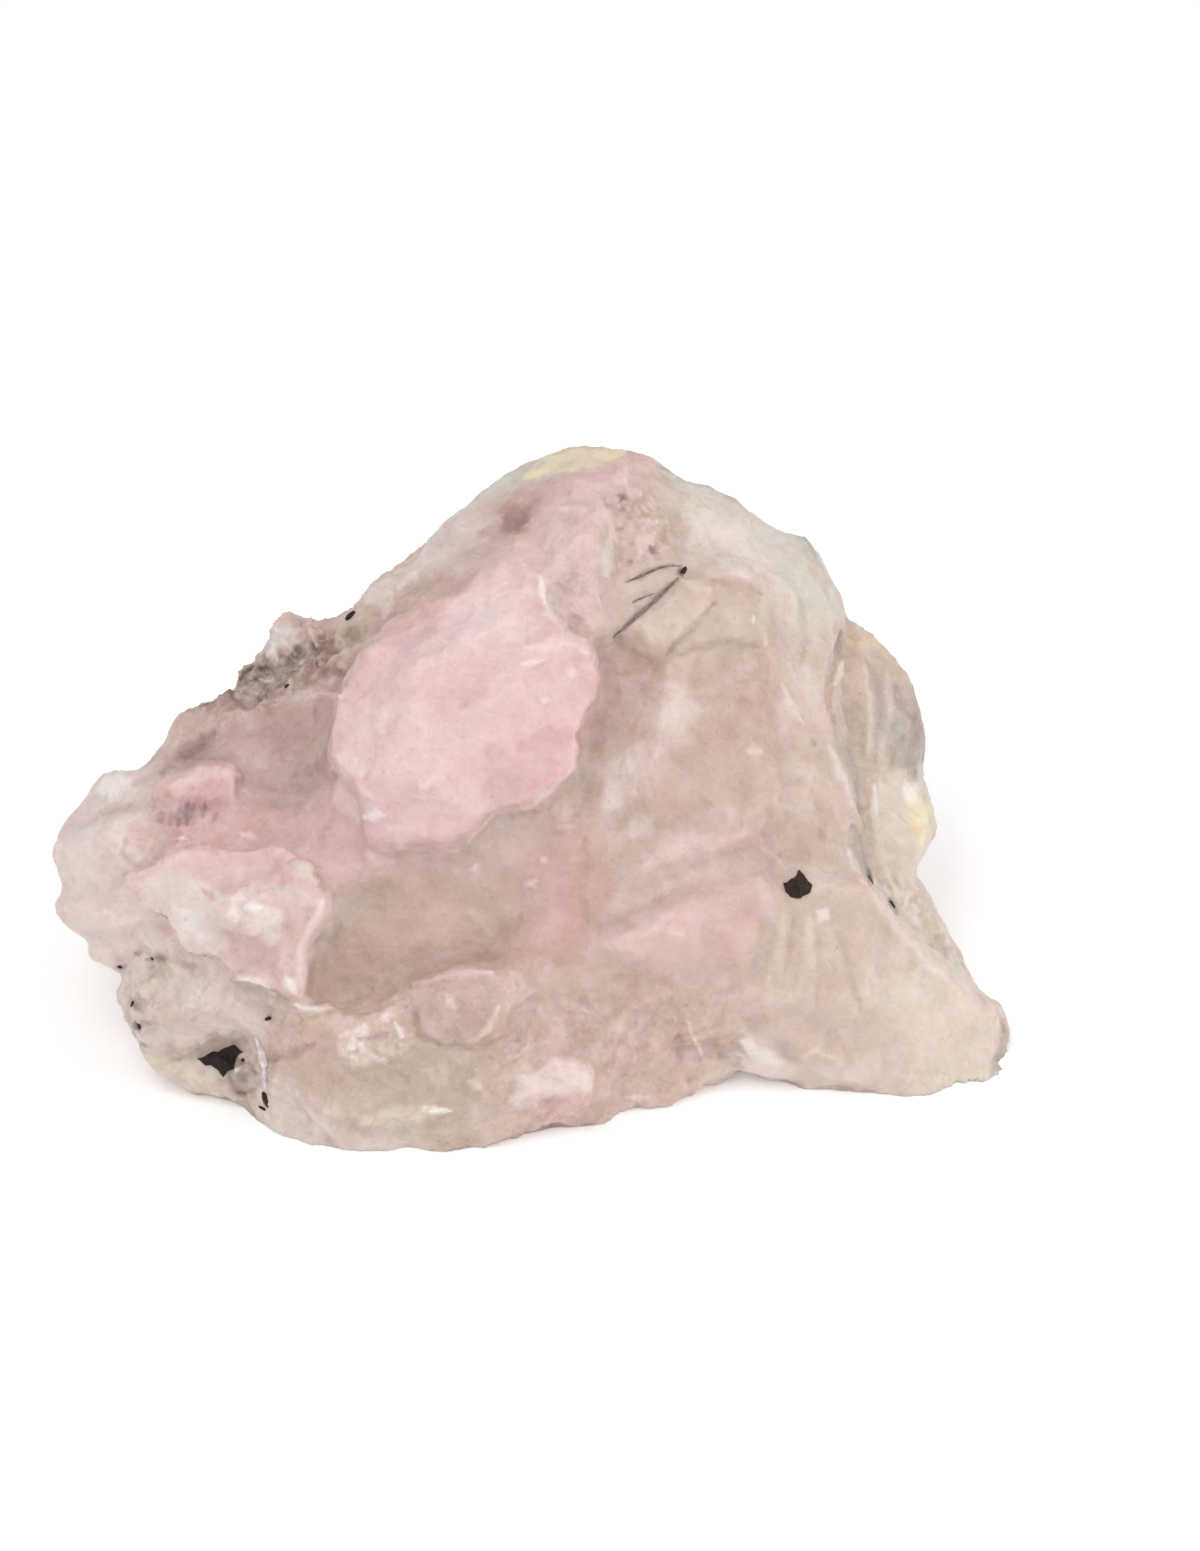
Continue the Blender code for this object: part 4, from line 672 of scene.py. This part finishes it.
# darkest and lightest tone of each mineral, linear
MINERAL_TONES = {
    "black_mineral": ((0.012, 0.006, 0.004), (0.05, 0.022, 0.014)),
    "blackest_mineral": ((0.008, 0.005, 0.003), (0.026, 0.016, 0.010)),
    "smoky_needle": ((0.15, 0.105, 0.09), (0.3, 0.23, 0.2)),
    "pale_sliver": ((0.55, 0.47, 0.49), (0.82, 0.75, 0.75)),
}

# ---- studio, in metres and watts ----

FLOOR_RADIUS = 4.0
SKY_STRENGTH = 0.66
LIGHT_TARGET = (0.0, 0.0, 0.02)
# lights: name, place, size, power
LIGHTS = [
    ("key", (-0.25, -0.25, 0.65), 0.5, 1.9),
    ("fill", (0.6, -0.2, 0.35), 0.6, 2.0),
    ("glint", (-0.15, -0.7, 0.8), 0.06, 0.6),
]


def srgb(colour):
    """Plain sRGB numbers, 0 to 255, as linear light."""
    share = np.array(colour) / 255.0
    return ALBEDO * np.where(share <= 0.04045, share / 12.92, ((share + 0.055) / 1.055) ** 2.4)


def smooth_ramp(x):
    x = np.clip(x, 0.0, 1.0)
    return x * x * (3.0 - 2.0 * x)


def face_matrix():
    """From the face frame in mm to the world in metres."""
    turn = Matrix.Rotation(FACE_TURN, 4, "X")
    lift = Matrix.Translation((-MIDDLE_X, -MIDDLE_Y, FACE_CENTRE_Z))
    return Matrix.Scale(MM, 4) @ lift @ turn


def move_rows(matrix, rows):
    """Apply a Blender matrix to rows of points."""
    linear = np.array(matrix.to_3x3())
    return rows @ linear.T + np.array(matrix.to_translation())


def get_rows(items, key):
    flat = np.empty(len(items) * 3)
    items.foreach_get(key, flat)
    return flat.reshape(-1, 3)


def face_places(mesh):
    """The mesh's points in the face frame."""
    return move_rows(face_matrix().inverted(), get_rows(mesh.vertices, "co"))


def set_places(mesh, world):
    mesh.vertices.foreach_set("co", world.astype(np.float32).ravel())
    mesh.update()


def link(obj):
    bpy.context.scene.collection.objects.link(obj)
    return obj


def add_smoothing(obj, rounds, group=""):
    smooth = obj.modifiers.new("smooth", "SMOOTH")
    smooth.factor = 0.5
    smooth.iterations = rounds
    smooth.vertex_group = group


def apply_modifiers(obj):
    graph = bpy.context.evaluated_depsgraph_get()
    mesh = bpy.data.meshes.new_from_object(obj.evaluated_get(graph))
    obj.modifiers.clear()
    obj.data = mesh


# ---- distances ----

def edges(outline):
    """The pairs of neighbouring points along a closed outline."""
    return zip(outline, outline[1:] + outline[:1])


def along(u, v, start, end):
    """For each (u, v): where on the line it lies, 0 at start to 1 at end, and how far off."""
    du, dv = end[0] - start[0], end[1] - start[1]
    u, v = u - start[0], v - start[1]
    t = np.clip((u * du + v * dv) / max(du * du + dv * dv, TINY), 0.0, 1.0)
    return t, np.hypot(u - t * du, v - t * dv)


def to_line(u, v, points):
    """Distance from each (u, v) to a line through points."""
    nearest = np.full(u.shape, np.inf)
    for start, end in zip(points, points[1:]):
        nearest = np.minimum(nearest, along(u, v, start, end)[1])
    return nearest


def mark_share(u, v, points, width):
    """1 along a mark, fading softly to its sides and thinning to its ends."""
    lengths = [math.dist(a, b) for a, b in zip(points, points[1:])] or [0.0]
    whole = max(sum(lengths), TINY)
    nearest = np.full(u.shape, np.inf)
    done = 0.0
    for start, end, length in zip(points, points[1:] or points, lengths):
        t, gap = along(u, v, start, end)
        part = np.clip((done + t * length) / whole, 0.0, 1.0)
        thin = MARK_TIP + (1.0 - MARK_TIP) * np.sin(math.pi * part)
        if len(points) == 1:
            thin = 1.0
        nearest = np.minimum(nearest, gap / (width * thin))
        done += length
    return np.exp(-MARK_FADE * nearest * nearest)


def to_outline(u, v, outline):
    """Distance to a closed outline: positive inside it, negative outside."""
    nearest = to_line(u, v, outline + outline[:1])
    inside = np.zeros(u.shape, dtype=bool)
    for (u0, v0), (u1, v1) in edges(outline):
        crosses = (v0 > v) != (v1 > v)
        reach = u0 + (v - v0) * (u1 - u0) / ((v1 - v0) or TINY)
        inside ^= crosses & (u < reach)
    return np.where(inside, nearest, -nearest)


def noise_field(places, size, octaves=1, shift=0.0):
    """Perlin noise at each place, with features of about `size` mm."""
    offset = Vector((shift, shift * 0.7, -shift))
    if octaves == 1:
        return np.array([noise.noise(Vector(p) / size + offset) for p in places])
    return np.array([
        noise.fractal(Vector(p) / size + offset, 0.6, 2.0, octaves) for p in places
    ])


# ---- the lump ----

def fine_lump():
    """A copy of the CAD lump, evenly fine."""
    lump = link(bpy.data.objects.new("rose_quartz_lump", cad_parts[NODE].data.copy()))
    lump.data.materials.clear()
    even = lump.modifiers.new("even", "REMESH")
    even.mode = "VOXEL"
    even.voxel_size = VOXEL * MM
    add_smoothing(lump, EVEN_ROUNDS)
    apply_modifiers(lump)
    return lump


def wear_steps(lump):
    """Smooth the mesh along the worn steps."""
    wear = worn_share(face_places(lump.data)) * facing_front(lump.data)
    group = lump.vertex_groups.new(name="worn")
    levels = 8
    for level in range(1, levels + 1):
        members = np.nonzero(np.round(wear * levels) == level)[0]
        group.add([int(i) for i in members], level / levels, "REPLACE")
    add_smoothing(lump, WORN_ROUNDS, "worn")
    apply_modifiers(lump)
    lump.vertex_groups.clear()


def worn_share(points):
    """1 on a worn step, fading to 0 beyond its reach."""
    share = np.zeros(len(points))
    for reach, line in WORN_STEPS:
        share = np.maximum(share, smooth_ramp(1.5 - to_line(points[:, 0], points[:, 1], line) / reach))
    return share


def thin_out(lump):
    """Take triangles away, more of them at the back, and shade what is left smooth."""
    now = sum(len(polygon.vertices) - 2 for polygon in lump.data.polygons)
    front = facing_front(lump.data)
    group = lump.vertex_groups.new(name="thin")
    group.add([int(i) for i in np.nonzero(front < 0.5)[0]], 1.0, "REPLACE")
    group.add([int(i) for i in np.nonzero(front >= 0.5)[0]], 0.5, "REPLACE")
    fewer = lump.modifiers.new("fewer", "DECIMATE")
    fewer.ratio = TRIANGLES / now
    fewer.vertex_group = "thin"
    fewer.vertex_group_factor = FRONT_KEPT
    apply_modifiers(lump)
    lump.vertex_groups.clear()
    lump.data.shade_smooth()


def tighten_steps(points):
    """Draw the slope of each sharp step in to a steep, ragged wall."""
    for outline in SHARP_STEPS:
        u, v = points[:, 0], points[:, 1]
        wave = noise_field(points * (1.0, 1.0, 0.0), 1.6) * 0.5
        distance = to_outline(u, v, outline) + wave
        step = 0.05
        slope_u = (to_outline(u + step, v, outline) - to_outline(u - step, v, outline)) / (2 * step)
        slope_v = (to_outline(u, v + step, outline) - to_outline(u, v - step, outline)) / (2 * step)
        pull = (1.0 - WALL_KEPT) * smooth_ramp(1.0 - np.abs(distance) / WALL_REACH)
        pull *= 1.0 - worn_share(points)
        points[:, 0] -= distance * pull * slope_u
        points[:, 1] -= distance * pull * slope_v
    return points


def flaked(places, size, depth):
    """Shell-shaped dishes that meet in sharp ridges."""
    bent = places + noise_field(places, size * 1.3)[:, None] * size * 0.5
    return depth * np.array([
        noise.voronoi(Vector(place) / size, distance_metric="DISTANCE_SQUARED")[0][0] for place in bent
    ])


def terraced(places, size, step):
    """Small ledges: level ground between ragged, steep edges `step` high."""
    bent = places + noise_field(places, 1.4, shift=21.0)[:, None] * 0.9
    level = noise_field(bent, size, octaves=3, shift=17.0) * 4.0
    floor_level = np.floor(level)
    return step * (floor_level + smooth_ramp((level - floor_level - 0.5) / 0.12 + 0.5))


def break_strength(points, front):
    """How rough the break is at each point."""
    strength = np.full(len(points), ROUGHNESS)
    for rough, soft, outline in BREAK_ZONES:
        inside = smooth_ramp(0.5 + to_outline(points[:, 0], points[:, 1], outline) / (2.0 * soft))
        strength += (rough - strength) * inside * front
    return strength


def facing_front(mesh):
    """1 where the surface faces the way the show face does, fading to 0 at the back."""
    out = np.array(face_matrix().to_3x3().normalized().col[2])
    return smooth_ramp((get_rows(mesh.vertex_normals, "vector") @ out + 0.5) / 0.5)


def shape_lump(lump):
    """Give the lump the fine relief of its break."""
    mesh = lump.data
    points = face_places(mesh)
    front = facing_front(mesh)
    on_base = get_rows(mesh.vertices, "co")[:, 2] < BASE_DEPTH * MM
    points = np.where(front[:, None] > 0.0, tighten_steps(points.copy()), points)
    set_places(mesh, move_rows(face_matrix(), points))
    normals = get_rows(mesh.vertex_normals, "vector")
    world = get_rows(mesh.vertices, "co")
    height = relief_heights(points, front)
    height[on_base] = 0.0
    world += normals * height[:, None] * MM
    world[:, 2] = np.maximum(world[:, 2], 0.0)
    set_places(mesh, world)


def relief_heights(points, front):
    """Height of the relief at each point, in mm."""
    height = flaked(points * (1.0, 0.7, 1.0), FLAKE_SIZE, FLAKE_DEPTH)
    height += flaked(points + 9.0, CHIP_SIZE, CHIP_DEPTH)
    height += terraced(points, LEDGE_SIZE, LEDGE_STEP)
    height += noise_field(points, GRAIN_SIZE) * GRAIN_DEPTH
    height = (height - height.mean() - SUNK) * break_strength(points, front)
    return height + (mark_heights(points) + raised_heights(points)) * front


def mark_heights(points):
    """Grooves and ridges of the marks, in mm."""
    u, v = points[:, 0], points[:, 1]
    total = np.zeros(len(points))
    for _, _, height, width, line in MARKS:
        if height:
            total += height * mark_share(u, v, line, width)
    return total


def raised_heights(points):
    """Heights of the small raised and sunk places, in mm."""
    wave = noise_field(points * (1.0, 1.0, 0.0), 0.9, shift=15.0) * 0.3
    total = np.zeros(len(points))
    for height, soft, outline in RAISED:
        inside = to_outline(points[:, 0], points[:, 1], outline) + wave
        total += height * smooth_ramp(0.5 + inside / (2.0 * soft))
    return total


def blend(colour, name, share):
    """Lay a colour of the palette over what is there."""
    return colour + (srgb(PALETTE[name]) - colour) * share[:, None]


def wander(points, shift):
    """How far, in mm, the edge of a patch strays at each point."""
    near = noise_field(points, 1.5, shift=shift) * 0.5
    return near + noise_field(points, 4.0, shift=shift + 2.0) * 0.7


def paint_back(points, front):
    """The base colour, with broad patches of other tones that show most on the back."""
    colour = np.tile(srgb(PALETTE["base"]), (len(points), 1))
    for number, (name, cover, size, level) in enumerate(BACK_TONES, 1):
        field = noise_field(points, size, octaves=3, shift=11.0 * number)
        share = cover * smooth_ramp(field * 1.6 + level)
        colour = blend(colour, name, share * (1.0 - 0.7 * front))
    return colour


def paint_patches(colour, u, v, ragged, front):
    for name, cover, soft, outline in PATCHES:
        edge = 0.5 + to_outline(u, v, outline) / (2.0 * soft) + ragged * 0.4
        colour = blend(colour, name, cover * smooth_ramp(edge) * front)
    return colour


def paint_speckles(colour, points, u, v, front):
    for number, (name, cover, size, level, outline) in enumerate(SPECKLES):
        inside = smooth_ramp(0.5 + to_outline(u, v, outline) / 0.8) * front
        near = inside > 0.0
        field = noise_field(points[near], size, octaves=2, shift=31.0 + 2.0 * number)
        inside[near] *= smooth_ramp(0.5 + (field + level) / 0.2)
        colour = blend(colour, name, cover * inside)
    return colour


def paint_marks(colour, u, v, ragged, front):
    for name, cover, _, width, line in MARKS:
        share = mark_share(u, v, line, width)
        share = smooth_ramp(share * 1.3 - 0.15 + ragged * 0.6 * np.sqrt(share))
        colour = blend(colour, name, cover * share * front)
    return colour


def paint_lump(lump):
    """Write the colours to a colour attribute; its alpha is the mottling."""
    points = face_places(lump.data)
    front = facing_front(lump.data)
    ragged = noise_field(points, 1.1, octaves=4, shift=13.0)
    wave_u, wave_v = wander(points, 3.0), wander(points, 7.0)
    u, v = points[:, 0], points[:, 1]
    colour = paint_back(points, front)
    colour = paint_patches(colour, u + wave_u, v + wave_v, ragged, front)
    colour = paint_speckles(colour, points, u + wave_u, v + wave_v, front)
    colour = paint_marks(colour, u + wave_u * 0.3, v + wave_v * 0.3, ragged, front)
    mottling = np.clip(0.35 + 0.65 * break_strength(points, front), 0.0, 1.0)
    tint = lump.data.color_attributes.new("tint", "FLOAT_COLOR", "POINT")
    tint.data.foreach_set("color", np.column_stack([colour, mottling]).ravel())


# ---- minerals grown into the quartz ----

def surface_finder(lump):
    """A function that gives the lump's surface and its normal at (u, v), in the face frame."""
    to_face = face_matrix().inverted()
    places = [to_face @ vert.co for vert in lump.data.vertices]
    tree = BVHTree.FromPolygons(places, [list(face.vertices) for face in lump.data.polygons])

    def find(u, v):
        place, normal, _, _ = tree.ray_cast(Vector((u, v, ABOVE_FACE)), Vector((0.0, 0.0, -1.0)))
        if place is None:
            place, normal, _, _ = tree.find_nearest(Vector((u, v, BESIDE_FACE)))
        return place, normal
    return find


def finished_piece(name, mesh, material):
    """Make a piece of a mesh drawn in the face frame."""
    mesh.transform(face_matrix())
    bmesh.ops.recalc_face_normals(mesh, faces=mesh.faces[:])
    data = bpy.data.meshes.new(name)
    mesh.to_mesh(data)
    mesh.free()
    data.materials.append(material)
    piece = link(bpy.data.objects.new(name, data))
    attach(piece, "root")
    return piece


def join_rings(mesh, rings):
    """Walls from each ring of points to the next, closed at both ends."""
    for lower, upper in zip(rings, rings[1:]):
        for (a, b), (d, c) in zip(edges(lower), edges(upper)):
            mesh.faces.new((a, b, c, d))
    mesh.faces.new(rings[-1])
    mesh.faces.new(rings[0][::-1])


def ragged_outline(outline):
    """The same outline with more points, worn and chipped."""
    parts = 4
    points = []
    for (u0, v0), (u1, v1) in edges(outline):
        for part in range(parts):
            u = u0 + (u1 - u0) * part / parts
            v = v0 + (v1 - v0) * part / parts
            wear_u = noise.noise(Vector((u * 1.7, v * 1.7, 5.5)))
            wear_v = noise.noise(Vector((u * 1.7, v * 1.7, 64.0)))
            points.append((u + wear_u * PLATE_WEAR, v + wear_v * PLATE_WEAR))
    return points


def black_plate(mesh, find, outline):
    """A broken grain with a rough top, standing a little out of the surface."""
    outline = ragged_outline(outline)
    middle_u = sum(u for u, v in outline) / len(outline)
    middle_v = sum(v for u, v in outline) / len(outline)
    rings = []
    for grow, rise in PLATE_RINGS:
        ring = []
        for u, v in outline:
            at_u = middle_u + (u - middle_u) * grow
            at_v = middle_v + (v - middle_v) * grow
            place, _ = find(at_u, at_v)
            rough = noise.noise(Vector((at_u * 1.1, at_v * 1.1, 0.0))) * 0.35
            rough += noise.noise(Vector((at_u * 3.5, at_v * 3.5, 3.0))) * 0.14
            rough *= min(1.0, 2.0 * (1.05 - grow))
            ring.append(mesh.verts.new((at_u, at_v, place.z + rise + rough)))
        rings.append(ring)
    join_rings(mesh, rings)


def grain(mesh, find, row):
    """A small angular grain, half sunk in the surface; its turn is its lie across the show face."""
    u, v, length, width, turn = row
    place, normal = find(u, v)
    turn = math.radians(turn)
    across = normal.cross(Vector((math.cos(turn), math.sin(turn), 0.0))).normalized()
    lie = Matrix((across.cross(normal), across, normal)).transposed().to_4x4()
    size = Matrix.Diagonal((length / 2, width / 2, width / 3, 1.0))
    made = bmesh.ops.create_icosphere(
        mesh, subdivisions=2, radius=1.0, matrix=Matrix.Translation(place) @ lie @ size)
    for vert in made["verts"]:
        push = noise.noise(vert.co * 2.3) * 0.35
        vert.co += (vert.co - place) * push


def needle(mesh, find, row):
    """A tapering needle that lies half sunk along the surface."""
    radius, line = row
    rings = []
    for step in range(NEEDLE_STEPS + 1):
        share = step / NEEDLE_STEPS * (len(line) - 1)
        i = min(int(share), len(line) - 2)
        (u0, v0), (u1, v1) = line[i], line[i + 1]
        u = u0 + (u1 - u0) * (share - i)
        v = v0 + (v1 - v0) * (share - i)
        place, normal = find(u, v)
        across = Vector((u1 - u0, v1 - v0, 0.0)).cross(normal).normalized()
        wear = 1.0 + 0.5 * noise.noise(Vector((u * 1.5, v * 1.5, 7.0)))
        swell = NEEDLE_TIP + (1.0 - NEEDLE_TIP) * math.sin(math.pi * step / NEEDLE_STEPS)
        thick = radius * wear * swell
        ring = []
        for side in range(NEEDLE_SIDES):
            angle = 2.0 * math.pi * side / NEEDLE_SIDES
            out = across * math.cos(angle) + normal * math.sin(angle)
            ring.append(mesh.verts.new(place + normal * thick * 0.2 + out * thick))
        rings.append(ring)
    join_rings(mesh, rings)


def add_minerals(lump):
    find = surface_finder(lump)
    minerals = {name: plain_mineral(name, *tones) for name, tones in MINERAL_TONES.items()}
    for name, mineral, make, rows in (
        ("black_grain", "black_mineral", black_plate, [BLACK_GRAIN]),
        ("black_patch", "blackest_mineral", black_plate, [BLACK_PATCH]),
        ("small_dark_grains", "black_mineral", grain, GRAINS),
        ("dark_needles", "smoky_needle", needle, NEEDLES),
        ("pale_sliver", "pale_sliver", needle, [PALE_SLIVER]),
    ):
        mesh = bmesh.new()
        for row in rows:
            make(mesh, find, row)
        finished_piece(name, mesh, minerals[mineral])


# ---- camera, light and floor ----

def new_material(name):
    material = bpy.data.materials.new(name)
    material.use_nodes = True
    return material, material.node_tree, material.node_tree.nodes["Principled BSDF"]


def pick_camera():
    data = bpy.data.cameras.new("camera")
    data.lens = LENS
    data.sensor_width = SENSOR
    data.clip_end = 50.0
    camera = link(bpy.data.objects.new("camera", data))
    distance = PHOTO_HEIGHT_MM / SENSOR * LENS
    u, v = PHOTO_CENTRE
    camera.location = face_matrix() @ Vector((u, v, SHARP_DEPTH + distance))
    camera.rotation_euler = (FACE_TURN, 0.0, 0.0)
    bpy.context.scene.camera = camera


def area_light(name, place, size, power):
    data = bpy.data.lights.new(name, "AREA")
    data.shape = "DISK"
    data.size = size
    data.energy = power
    light = link(bpy.data.objects.new(name, data))
    light.location = place
    towards = Vector(LIGHT_TARGET) - light.location
    light.rotation_euler = towards.to_track_quat("-Z", "Y").to_euler()


def studio():
    world = bpy.data.worlds.new("studio")
    bpy.context.scene.world = world
    world.use_nodes = True
    background = world.node_tree.nodes["Background"]
    background.inputs["Color"].default_value = (1.0, 1.0, 1.0, 1.0)
    background.inputs["Strength"].default_value = SKY_STRENGTH
    for light in LIGHTS:
        area_light(*light)
    bpy.context.scene.view_settings.view_transform = "Standard"


def floor():
    mesh = bmesh.new()
    bmesh.ops.create_circle(mesh, cap_ends=True, segments=64, radius=FLOOR_RADIUS)
    data = bpy.data.meshes.new("floor")
    mesh.to_mesh(data)
    mesh.free()
    plane = link(bpy.data.objects.new("floor", data))
    material, _, shader = new_material("floor")
    shader.inputs["Base Color"].default_value = (0.93, 0.93, 0.93, 1.0)
    shader.inputs["Roughness"].default_value = 0.9
    shader.inputs["Emission Color"].default_value = (1.0, 1.0, 1.0, 1.0)
    shader.inputs["Emission Strength"].default_value = 0.15
    data.materials.append(material)


# ---- materials ----

def texture(tree, kind, size, **settings):
    """A procedural texture in the object's own coordinates, with features `size` mm across."""
    node = tree.nodes.new(kind)
    node.inputs["Scale"].default_value = 1.0 / (size * MM)
    for key, value in settings.items():
        if key in node.inputs:
            node.inputs[key].default_value = value
        else:
            setattr(node, key, value)
    place = tree.nodes.new("ShaderNodeTexCoord")
    tree.links.new(place.outputs["Object"], node.inputs["Vector"])
    return node


def graded(tree, value, low, high, to_low, to_high):
    """Map a value's range low..high to to_low..to_high, clamped."""
    node = tree.nodes.new("ShaderNodeMapRange")
    tree.links.new(value, node.inputs["Value"])
    node.inputs["From Min"].default_value = low
    node.inputs["From Max"].default_value = high
    node.inputs["To Min"].default_value = to_low
    node.inputs["To Max"].default_value = to_high
    return node.outputs["Result"]


def mixed(tree, share, base, over, blend_type):
    """Lay one plain linear colour over a colour socket."""
    node = tree.nodes.new("ShaderNodeMix")
    node.data_type = "RGBA"
    node.blend_type = blend_type
    tree.links.new(share, node.inputs[0])
    tree.links.new(base, node.inputs[6])
    node.inputs[7].default_value = (*over, 1.0)
    return node.outputs[2]


def bumped(tree, height, distance, strength, below=None):
    node = tree.nodes.new("ShaderNodeBump")
    node.inputs["Distance"].default_value = distance * MM
    node.inputs["Strength"].default_value = strength
    tree.links.new(height, node.inputs["Height"])
    if below:
        tree.links.new(below, node.inputs["Normal"])
    return node.outputs["Normal"]


def quartz_colour(tree, clouds, fine):
    """The painted colours under clouds, blush, wisps, painted glints and grit."""
    tint = tree.nodes.new("ShaderNodeAttribute")
    tint.attribute_name = "tint"
    wisps = texture(tree, "ShaderNodeTexNoise", 3.4, Detail=6.0, Roughness=0.65, Distortion=1.2,
                    noise_type="RIDGED_MULTIFRACTAL").outputs["Fac"]
    blush = texture(tree, "ShaderNodeTexNoise", 5.5, Detail=3.0, Roughness=0.5).outputs["Fac"]
    # tiny pale spots laid over the colour: painted glints
    painted_glints = texture(tree, "ShaderNodeTexVoronoi", 0.75).outputs["Distance"]
    grit = texture(tree, "ShaderNodeTexVoronoi", 1.9).outputs["Distance"]
    # field, its values at no cover and full cover, cover, tone, blend
    layers = (
        (clouds, 0.5, 0.33, 0.3, (0.62, 0.44, 0.37), "MULTIPLY"),
        (clouds, 0.5, 0.68, 0.32, (0.84, 0.77, 0.72), "MIX"),
        (blush, 0.45, 0.65, 0.2, (0.80, 0.50, 0.52), "MIX"),
        (wisps, 0.6, 1.4, 0.35, (0.86, 0.79, 0.76), "MIX"),
        (fine, 0.5, 0.3, 0.3, (0.66, 0.52, 0.46), "MULTIPLY"),
        (painted_glints, 0.2, 0.08, 0.12, (0.93, 0.87, 0.84), "MIX"),
        (grit, 0.08, 0.03, 0.5, (0.45, 0.32, 0.25), "MULTIPLY"),
    )
    colour = tint.outputs["Color"]
    for field, start, full, cover, tone, blend_type in layers:
        share = tree.nodes.new("ShaderNodeMath")
        share.operation = "MULTIPLY"
        tree.links.new(graded(tree, field, start, full, 0.0, cover), share.inputs[0])
        tree.links.new(tint.outputs["Alpha"], share.inputs[1])
        colour = mixed(tree, share.outputs["Value"], colour, tone, blend_type)
    return colour


def lump_material():
    """Milky quartz with a finely bumped, partly glossy break."""
    material, tree, shader = new_material("rose_quartz")
    clouds = texture(tree, "ShaderNodeTexNoise", 2.6, Detail=5.0, Roughness=0.6).outputs["Fac"]
    fine = texture(tree, "ShaderNodeTexNoise", 0.55, Detail=4.0, Roughness=0.65).outputs["Fac"]
    facets = texture(tree, "ShaderNodeTexVoronoi", 0.9).outputs["Distance"]
    tree.links.new(quartz_colour(tree, clouds, fine), shader.inputs["Base Color"])
    tree.links.new(graded(tree, fine, 0.35, 0.65, 0.32, 0.58), shader.inputs["Roughness"])
    normal = bumped(tree, facets, 0.12, 0.5)
    normal = bumped(tree, clouds, 0.6, 0.4, normal)
    normal = bumped(tree, fine, 0.22, 0.5, normal)
    tree.links.new(normal, shader.inputs["Normal"])
    shader.inputs["IOR"].default_value = 1.54
    shader.inputs["Subsurface Weight"].default_value = 0.5
    shader.inputs["Subsurface Radius"].default_value = (1.0, 0.6, 0.5)
    shader.inputs["Subsurface Scale"].default_value = 2.2 * MM
    return material


def plain_mineral(name, dark, light):
    """A mineral in two mixed tones, glossy on its cleavage and dull in its cracks."""
    material, tree, shader = new_material(name)
    patches = texture(tree, "ShaderNodeTexNoise", 0.5, Detail=4.0, Roughness=0.6)
    colour = tree.nodes.new("ShaderNodeValToRGB")
    for element, tone, position in zip(colour.color_ramp.elements, (dark, light), (0.4, 0.68)):
        element.color = (*tone, 1.0)
        element.position = position
    tree.links.new(patches.outputs["Fac"], colour.inputs["Fac"])
    tree.links.new(colour.outputs["Color"], shader.inputs["Base Color"])
    tree.links.new(graded(tree, patches.outputs["Fac"], 0.35, 0.65, 0.4, 0.75), shader.inputs["Roughness"])
    tree.links.new(bumped(tree, patches.outputs["Fac"], 0.15, 0.8), shader.inputs["Normal"])
    shader.inputs["Specular IOR Level"].default_value = 0.25
    return material


lump = fine_lump()
wear_steps(lump)
shape_lump(lump)
thin_out(lump)
paint_lump(lump)
lump.data.materials.append(lump_material())
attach(lump, "root")
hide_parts(NODE)
add_minerals(lump)
floor()
studio()
pick_camera()
